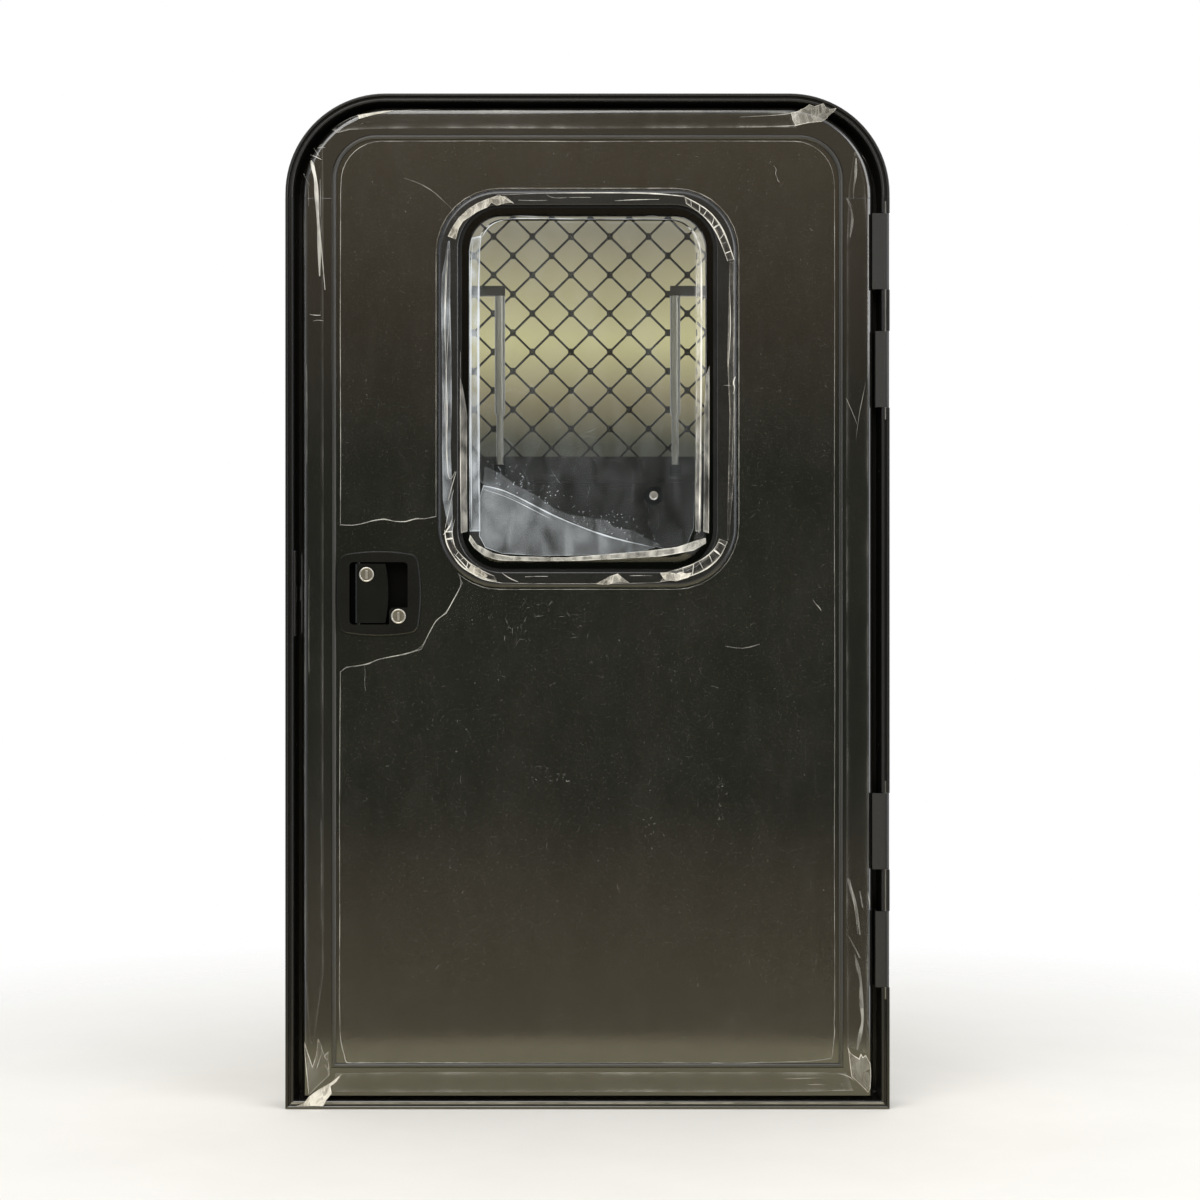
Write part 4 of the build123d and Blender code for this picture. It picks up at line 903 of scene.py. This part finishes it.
trimLines = [
    (1.6, [(-163.3, 978.3), (-165.5, 931.8), (-164.5, 869.7), (-162.1, 807.6), (-163.3, 761), (-160.8, 714.5),
           (-153.1, 733.1)]),
    (2.2, [(-161.4, 990.8), (-163.9, 941.1), (-165.2, 897.6)]),
    (1.5, [(-159.3, 922.5), (-162.1, 879), (-163.9, 835.5), (-164.5, 792.1)]),
    (1.8, [(-167.6, 835.5), (-163.9, 798.3), (-163.3, 742.4)]),
    (1.8, [(-151.9, 733.1), (-157.7, 714.5), (-161.4, 698.9)]),
    (1.5, [(-153.1, 678.8), (-157.7, 664.8), (-156.2, 658.6)]),
    (1.9, [(-101.8, 1052.9), (-86.3, 1045.1)]),
    (1.9, [(-123.6, 1045.1), (-112.7, 1042.9)]),
    (1.8, [(-80.1, 1047.3), (-58.4, 1046.6), (-45.9, 1047.3)]),
    (1.7, [(-47.5, 1055), (-44.4, 1048.2), (-24.2, 1050.4)]),
    (1.4, [(-21.1, 1050.4), (-8, 1050.8), (3.7, 1050.4)]),
    (1.7, [(31.7, 1046.6), (53.4, 1048.2), (82.9, 1048.2)]),
    (2.2, [(47.2, 1056.4), (84.4, 1055.6), (112.4, 1051.3)]),
    (2.4, ladderOuter),
    (1.9, ladderInner),
    (2.2, footOuter),
    (1.7, footInner),
    (2.2, sideOuter),
    (1.3, sideInner),
    (2.8, [(-166.6, 660.2), (-160.5, 668.1), (-157.6, 674), (-155.9, 682)]),
    (2.0, [(-164.6, 668), (-160, 690), (-155, 712)]),
    (1.5, [(-104.9, 1053.2), (-60, 1055.4), (0, 1056), (60, 1055.8), (112, 1052.6)]),
    (1.5, [(9.9, 603.9), (60, 603.4), (86, 605.4)]),
    (2.2, [(-97, 1051), (-91, 1046), (-85, 1043.6)]),
    (1.2, [(164.5, 947.3), (165.8, 910), (164.5, 872.8), (162.7, 854.2)]),
    (2.2, [(171.4, 843.3), (167.6, 835.5), (171.6, 830.9), (168.3, 823.1)]),
    (1.4, [(157.4, 833.1), (162, 833.4), (166.7, 832.4)]),
    (1.2, [(169.7, 816.9), (168.3, 773.5), (166.7, 730)]),
    (2.0, [(-72.3, 611.4), (-60, 612.2), (-45.9, 612)]),
    (1.9, [(48.7, 612.6), (62, 613.2), (75.1, 612.6)]),
    (1.7, [(-98.7, 615.7), (-89.4, 608.3), (-80.1, 605.8)]),
    (1.8, [(-154.6, 638.4), (-142.2, 624.4), (-131.3, 612.9), (-115.8, 606.8), (-98.7, 604.3)]),
    (1.4, [(-136, 621.3), (-125.1, 615.1), (-115.8, 608.9)]),
    (1.2, [(-98.7, 604.3), (-42.8, 603.1), (9.9, 603.7)]),
]
threadSet = {"slant": 0.03, "sag": (1.1, 0.8), "width": 2.5, "vary": 1.3}
for outer, inner, shares in ((ladderOuter, ladderInner, (0.08, 0.2, 0.31, 0.43, 0.54, 0.66, 0.77, 0.89)),
                             (footOuter, footInner, (0.06, 0.19, 0.33, 0.46, 0.61, 0.73, 0.86)),
                             (sideOuter, sideInner, (0.03, 0.12, 0.37, 0.44, 0.58, 0.66, 0.8))):
    for order, share in enumerate(shares):
        end = along(inner, share + threadSet["slant"] * math.sin(order * 2.7))
        thread = [along(outer, share), *shifted([end], *threadSet["sag"]), end]
        trimLines.append((threadSet["width"] + threadSet["vary"] * math.sin(order * 1.9), thread))
filmCreases("trimCreases", "trim", 0.9, trimLines)
print("trim film laid")

fold = [(-120.5, 717), (-104.9, 713.8), (-89.4, 708.3), (-64.6, 695.2), (-36.6, 680.9), (-8.7, 669.5),
        (19.2, 659.2), (47.2, 651.8), (78.2, 645.5)]
filmSheet("paneFilm", "pane",
          [(-126, 994), (-118, 1010), (-100, 1019.6), (-60, 1022.4), (30, 1021), (98, 1021.6), (114, 1011),
           (124.6, 996), (125.2, 860), (124.4, 720), (123, 668), (114.6, 646.6), (90, 643.4)]
          + shifted(fold[::-1], 0.0, 1.2) + [(-125, 724), (-125.8, 860)],
          {"rim": 0.8, "lift": 0.2, "fold": 3.0, "edge": 0.24, "haze": 0.014, "cuts": 0}, "paneFilm")
filmSheet("paneHazeFilm", "pane",
          fold + [(59.6, 640), (3.7, 636.4), (-52.2, 635.6), (-98.7, 638.3), (-118, 645.1), (-125.3, 658.6),
                  (-125.8, 698.9)],
          {"rim": 1.0, "lift": 0.5, "fold": 3.4, "edge": 0.5, "haze": 0.10, "cuts": 3}, "paneFilm")
filmSheet("paneFrostFilm", "pane",
          [(-118.9, 739.3), (-101.8, 731.5), (-83.2, 717.6), (-58.4, 705.2), (-39.7, 691.2), (-21.1, 683.4),
           (3.7, 679.7), (22.4, 677.2), (31.7, 667.9), (53.4, 664.8), (65.8, 657), (84.4, 648.7)]
          + shifted(fold[::-1], 0.0, 2.2),
          {"rim": 0.8, "lift": 0.3, "fold": 2.4, "edge": 0.10, "haze": 0.05, "cuts": 2}, "paneFilm")
filmStrip("paneFootFilm", "pane",
          [(-136, 660), (-128.2, 649), (-108, 638.4), (-89.4, 635.3), (-27.3, 633.8), (16.1, 636.9),
           (65.8, 641.1), (103.1, 645.7), (127.9, 654.1), (137, 656.6)],
          [(-137.4, 653.9), (-131, 644.6), (-118, 634.9), (-101.8, 630.4), (-52.2, 629.5), (-8.7, 630.1),
           (34.8, 632.1), (84.4, 634.9), (122.8, 641.7), (137.3, 650.4)],
          {"across": 5, "along": 120, "lift": 0.5, "fold": 2.8, "edge": 0.95, "haze": 0.3})
filmStrip("paneFlangeFilmLeft", "pane",
          [(-147.6, 842), (-147.9, 800), (-147.6, 720), (-146.6, 662)],
          [(-144.6, 832), (-139.4, 800), (-139.6, 720), (-139, 664)],
          {"across": 5, "along": 70, "lift": 0.2, "fold": 3.4, "edge": 0.4, "haze": 0.12})
# film over the dome's left bevel; its bright edges also stand for a painted reflection of that bevel
filmStrip("paneFlankFilmAndReflectionLeft", "pane",
          [(-134, 1004), (-137, 990), (-137.2, 860), (-137, 740), (-136.4, 664)],
          [(-122.6, 1006), (-124.2, 990), (-124.8, 860), (-124.6, 740), (-124, 664)],
          {"across": 12, "along": 140, "lift": 0.1, "fold": 3.4, "edge": 0.9, "haze": 0.16}, "paneFilm")
filmStrip("paneFlangeFilmRight", "pane",
          [(141.4, 856), (141.2, 800), (141, 720), (140.6, 662)],
          [(137.4, 846), (134.9, 800), (134.8, 720), (134.2, 664)],
          {"across": 5, "along": 70, "lift": 0.2, "fold": 3.4, "edge": 0.36, "haze": 0.10})
# film over the dome's right bevel; its bright edges also stand for a painted reflection of that bevel
filmStrip("paneFlankFilmAndReflectionRight", "pane",
          [(130, 1004), (132.9, 990), (132.8, 860), (132.2, 740), (131, 664)],
          [(122.8, 1006), (125.4, 990), (125.6, 860), (125.2, 740), (124.6, 664)],
          {"across": 8, "along": 140, "lift": 0.1, "fold": 3.4, "edge": 0.5, "haze": 0.12})
paneLines = [
    (2.3, fold),
    (1.3, [(-119.5, 712.4), (-104, 707.6), (-88, 701.6), (-66, 690.4), (-44, 679.2)]),
    (0.9, [(-112, 713.8), (-92, 706), (-70, 695)]),
    # painted reflections: these two lines stand for light on the dome's left bevel, drawn as film creases
    (3.0, [(-132.6, 1000), (-135, 980), (-135.4, 885.2), (-135.2, 792.1), (-134.6, 698.9), (-134, 668)]),
    (2.6, [(-124.8, 990.8), (-126.4, 947.3), (-126.6, 854.2), (-126.4, 761), (-126, 700)]),
    (1.5, [(-122, 1004.7), (-115.8, 1015.6), (-104.9, 1022.4), (-89.4, 1025.8), (-61.5, 1026.1),
           (3.7, 1024.9), (81.3, 1025.5), (106.2, 1023.9)]),
    (1.2, [(-86.3, 1029.2), (-61.5, 1028.6), (-49.1, 1028)]),
    (1.2, [(65.8, 1028), (72, 1029.6), (81.3, 1028.6)]),
    (1.2, [(109.3, 1027.7), (121.8, 1022.9), (129, 1014)]),
]
filmCreases("paneCreases", "pane", 0.9, paneLines, "paneFilm")
edgeLines = [  # warm line down the pane's right edge, a painted reflection of the dome's right bevel drawn as film; the other two lines run down the flanges
    (3.0, [(121.5, 1013), (127.6, 1002), (131.6, 986), (132, 940), (131.6, 854.2), (130.8, 761), (130, 700),
           (129, 662)]),
    (1.2, [(140.6, 846), (141, 790), (140.6, 720), (140, 664)]),
    (1.4, [(-147.2, 872), (-147.4, 800), (-147, 720), (-146.4, 664)]),
]
filmCreases("paneEdgeCreases", "pane", 0.9, edgeLines)


def offDome(x, z):
    return insetFrom(domeFace, x, z, False) < scratchSet["domeGap"]


paneHairs = hairScratches(12, 60, (-110, 118, 660, 840), (3, 24), (0.18, 0.34), offDome)
paneHairs += hairScratches(14, 46, (-118, 118, 660, 1010), (0.5, 1.4), (0.5, 1), offDome)


def offFrost(x, z):  # only the frosted band just above the fold
    for (fromX, fromZ), (toX, toZ) in zip(fold, fold[1:]):
        if fromX <= x < toX:
            rise = z - fromZ - (toZ - fromZ) * (x - fromX) / (toX - fromX)
            return not within(rise, scratchSet["frost"])
    return True


paneHairs += hairScratches(21, 150, (-118, 78, 650, 748), (0.8, 2.4), (0.9, 2), offFrost)
filmCreases("paneHairlines", "pane", 0.9, paneHairs, "paneFilm", True)
print("pane film laid")

knotSet = {"size": (0.0066, 0.0054, 0.0080), "corner": 0.0016, "centreX": -0.065, "centreZ": 0.96635,
           "stepX": 0.02275, "stepZ": 0.0226, "depth": 0.03225, "half": 0.296, "low": 0.765, "high": 1.116,
           "bend": 0.075, "columns": range(-14, 20), "rows": range(-11, 10), "smooth": 30}


def applyPlace():
    bpy.ops.object.transform_apply(location=True, rotation=True, scale=True)


def softBlock(name, spot, size, corner, segments):
    bpy.ops.mesh.primitive_cube_add(size=1.0, location=spot, scale=size)
    applyPlace()
    block = named(name)
    editAll()
    bpy.ops.mesh.bevel(offset=corner, segments=segments, affect="EDGES")
    endEdit()
    return block


def onGrille(x, z):  # inside the screen's head and its bent corners
    cornerX = abs(x) - (knotSet["half"] - knotSet["bend"])
    cornerZ = z - (knotSet["high"] - knotSet["bend"])
    rounded = cornerX > 0 and cornerZ > 0 and math.hypot(cornerX, cornerZ) > knotSet["bend"]
    return abs(x) < knotSet["half"] and knotSet["low"] < z < knotSet["high"] and not rounded


def grilleKnots():
    centre = (knotSet["centreX"], knotSet["depth"], knotSet["centreZ"])
    first = softBlock("grilleKnots", centre, knotSet["size"], knotSet["corner"], 1)
    pieces = [first]
    for i in knotSet["columns"]:
        for j in knotSet["rows"]:
            dx, dz = i * knotSet["stepX"], j * knotSet["stepZ"]
            if (i + j) % 2 == 0 and (i or j) and onGrille(centre[0] + dx, centre[2] + dz):
                copy = bpy.data.objects.new("knot", first.data.copy())
                scene.collection.objects.link(copy)
                copy.location = (dx, 0, dz)
                pieces.append(copy)
    pickOnly(first)
    for piece in pieces:
        piece.select_set(True)
    applyPlace()
    bpy.ops.object.join()
    bpy.ops.object.shade_smooth_by_angle(angle=math.radians(knotSet["smooth"]))
    settle(first, "grille", "screen")


grilleKnots()
print("grille knots set")

plugSet = {"ring": 0.0077, "wall": 0.0009, "flat": 0.55, "shutter": (0.0024, 0.0010, 0.0096), "sink": 0.0002,
           "edge": 0.0003}


def plugCollar(nodeName, name, body):  # turned rim on the plug's face and the dust shutter over its key slot
    low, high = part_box(nodeName)
    centre = ((low.x + high.x) / 2, low.y, (low.z + high.z) / 2)
    bpy.ops.mesh.primitive_torus_add(major_radius=plugSet["ring"], minor_radius=plugSet["wall"],
                                     major_segments=36, minor_segments=8, location=centre,
                                     rotation=(math.radians(90), 0, 0))
    applyPlace()
    collar = named(name + "Collar")
    editAll()
    bpy.ops.transform.resize(value=(1, plugSet["flat"], 1), center_override=centre)
    endEdit()
    bpy.ops.object.shade_smooth()
    settle(collar, "nickel", body)
    spot = (centre[0], centre[1] + plugSet["sink"], centre[2])
    shutter = softBlock(name + "Shutter", spot, plugSet["shutter"], plugSet["edge"], 2)
    settle(shutter, "nickel", body)


plugCollar("paddle_key_plug", "paddleKey", "paddle_key")
plugCollar("deadbolt_key_plug", "deadboltKey", "deadbolt_key")
print("key plugs dressed")

rivetSet = {"head": 0.0040, "height": 0.0022, "round": 0.0007, "socket": 0.0017, "sink": 0.0012,
            "front": -0.01605, "rise": 0.70535, "side": 0.0766, "smooth": 35}


def latchRivet():
    middle = (rivetSet["side"], rivetSet["front"] + rivetSet["height"] / 2, rivetSet["rise"])
    bpy.ops.mesh.primitive_cylinder_add(vertices=24, radius=rivetSet["head"], depth=rivetSet["height"],
                                        location=middle, rotation=(math.radians(90), 0, 0))
    applyPlace()
    rivet = named("latchRivet")
    front = min(rivet.data.polygons, key=lambda face: face.center.y).index
    editAll()
    bpy.ops.mesh.select_all(action="DESELECT")
    endEdit()
    rivet.data.polygons[front].select = True
    bpy.ops.object.mode_set(mode="EDIT")
    bpy.ops.mesh.select_mode(type="FACE")
    bpy.ops.mesh.bevel(offset=rivetSet["round"], segments=3, affect="EDGES")
    bpy.ops.mesh.inset(thickness=rivetSet["head"] - rivetSet["round"] - rivetSet["socket"], depth=0.0)
    bpy.ops.mesh.extrude_region_shrink_fatten(TRANSFORM_OT_shrink_fatten={"value": -rivetSet["sink"]})
    endEdit()
    bpy.ops.object.shade_smooth_by_angle(angle=math.radians(rivetSet["smooth"]))
    settle(rivet, "steel", "door")


latchRivet()
print("rivet set")

# the floor's second fade and its warm colour, seen only by mirror rays, are a painted reflection
stageSet = {"floorSize": 3.2, "floorGap": 0.0006, "fadeStart": 0.5, "fadeEnd": 1.5, "paintedReflectionStart": 0.43,
            "matEnd": 0.54, "paintedReflectionWide": 0.5, "paintedReflectionColour": (0.95, 0.87, 0.57), "ambient": 0.75}


def paleFloor():
    under = cadBox[0].z - stageSet["floorGap"]
    bpy.ops.mesh.primitive_plane_add(size=stageSet["floorSize"], location=(0, 0, under))
    floor = named("floor")
    material, tree, shader = newMaterial("paleFloor")
    grain = noise(tree, place(tree), 6.0, 3.0)
    pale = ramp(tree, grain, [(0.3, (0.91, 0.895, 0.855)), (0.7, (0.94, 0.925, 0.885))])
    path = tree.nodes.new("ShaderNodeLightPath")
    mirrored = path.outputs["Is Glossy Ray"]
    # painted reflection: mirror rays see a warm colour on the floor near the door, while the camera sees it
    # pale
    link(tree, blendColour(tree, mirrored, pale, stageSet["paintedReflectionColour"]), shader.inputs["Base Color"])
    setInputs(shader, {"Roughness": 0.9, "Specular IOR Level": 0.1})
    fades = []
    for wide, start, end in ((1.0, stageSet["fadeStart"], stageSet["fadeEnd"]),
                             (stageSet["paintedReflectionWide"], stageSet["paintedReflectionStart"], stageSet["matEnd"])):
        reach = tree.nodes.new("ShaderNodeVectorMath")
        reach.operation = "LENGTH"
        link(tree, place(tree, (wide, 1, 1)), reach.inputs[0])
        fades.append(span(tree, reach.outputs["Value"], 1.0, 0.0, start, end))
    seen, glossy = fades
    direct = combine(tree, "MULTIPLY", seen, combine(tree, "SUBTRACT", 1.0, mirrored))
    fade = combine(tree, "ADD", direct, combine(tree, "MULTIPLY", glossy, mirrored))
    clear = tree.nodes.new("ShaderNodeBsdfTransparent")
    shown = mixShaders(tree, fade, clear.outputs["BSDF"], shader.outputs["BSDF"])
    link(tree, shown, tree.nodes["Material Output"].inputs["Surface"])
    floor.data.materials.append(material)


def background(tree, colour, strength=1.0):
    node = tree.nodes.new("ShaderNodeBackground")
    setInputs(node, {"Strength": strength})
    if isinstance(colour, tuple):
        setInputs(node, {"Color": (*colour, 1)})
    else:
        link(tree, colour, node.inputs["Color"])
    return node.outputs["Background"]


mirroredStops = [  # what the gloss panel mirrors, from low to high
    (0.0, (0.66, 0.62, 0.53)), (0.16, (0.40, 0.34, 0.22)), (0.245, (0.21, 0.185, 0.13)),
    (0.275, (0.07, 0.08, 0.056)), (0.44, (0.06, 0.072, 0.05)), (0.53, (0.22, 0.18, 0.125)),
    (0.6, (0.36, 0.30, 0.20)), (0.74, (0.16, 0.155, 0.145)), (1.0, (0.85, 0.86, 0.87))]
beyondStops = [  # what shows through the pane
    (0.35, (0.90, 0.90, 0.88)), (0.40, (0.10, 0.105, 0.09)), (0.45, (0.10, 0.105, 0.085)),
    (0.474, (0.40, 0.355, 0.22)), (0.499, (0.88, 0.84, 0.48)), (0.525, (0.66, 0.615, 0.38)),
    (0.55, (0.42, 0.395, 0.30)), (0.72, (0.80, 0.80, 0.78)), (1.0, (0.95, 0.95, 0.95))]


def studioWorld():
    world = bpy.data.worlds.new("studio")
    scene.world = world
    world.use_nodes = True
    tree = world.node_tree
    tree.nodes.clear()
    output = tree.nodes.new("ShaderNodeOutputWorld")
    path = tree.nodes.new("ShaderNodeLightPath").outputs
    seen = combine(tree, "MAXIMUM", path["Is Camera Ray"], path["Is Transmission Ray"])
    direction = axes(tree, "Generated")
    height = span(tree, direction["Z"], 0.0, 1.0, -0.3, 0.5)
    sideways = span(tree, combine(tree, "ABSOLUTE", direction["X"], 0.0), 0.0, 1.0, 0.3, 0.95)
    room = blendColour(tree, sideways, ramp(tree, height, mirroredStops), (0.50, 0.53, 0.56))
    behind = span(tree, direction["Y"], 0.0, 1.0, -0.1, 0.5)
    mirrored = background(tree, blendColour(tree, behind, room, (1.0, 1.0, 1.0)))
    soft = background(tree, (1.0, 0.99, 0.97), stageSet["ambient"])
    through = blendColour(tree, path["Is Transmission Ray"], (1.0, 1.0, 1.0), ramp(tree, height, beyondStops))
    unseen = mixShaders(tree, path["Is Glossy Ray"], soft, mirrored)
    shown = mixShaders(tree, seen, unseen, background(tree, through))
    link(tree, shown, output.inputs["Surface"])


def softLamp(name, spot, aim, size, power, colour):
    bpy.ops.object.light_add(type="AREA", location=spot)
    lamp = named(name)
    lamp.data.shape = "RECTANGLE"
    lamp.data.size, lamp.data.size_y = size
    lamp.data.energy = power
    lamp.data.color = colour
    lamp.rotation_euler = (Vector(aim) - Vector(spot)).to_track_quat("-Z", "Y").to_euler()


cameraSet = {"spot": (0.0145, -3.01, 0.5846), "sensor": 36.0, "lens": 77.66}


def photoCamera():
    bpy.ops.object.camera_add(location=cameraSet["spot"], rotation=(math.radians(90), 0, 0))
    camera = bpy.context.object
    camera.data.sensor_width = cameraSet["sensor"]
    camera.data.lens = cameraSet["lens"]
    scene.camera = camera


paleFloor()
studioWorld()
softLamp("keyLamp", (-1.0, -2.6, 3.0), (0, 0, 0.6), (2.4, 2.4), 42, (1, 0.985, 0.955))
softLamp("fillLamp", (2.4, -2.6, 2.1), (0, 0, 0.6), (2.0, 2.0), 30, (1, 0.99, 0.975))
softLamp("leftStrip", (-2.6, -0.9, 0.6), (0, 0, 0.6), (0.3, 2.2), 2.5, (0.92, 0.96, 1))
softLamp("rightStrip", (2.6, -1.2, 0.6), (0, 0, 0.6), (0.9, 2.2), 11, (0.93, 0.965, 1))
softLamp("topLamp", (0, -1.0, 2.9), (0, 0, 0.9), (2.4, 0.8), 5, (1, 1, 1))
photoCamera()
print("stage set")
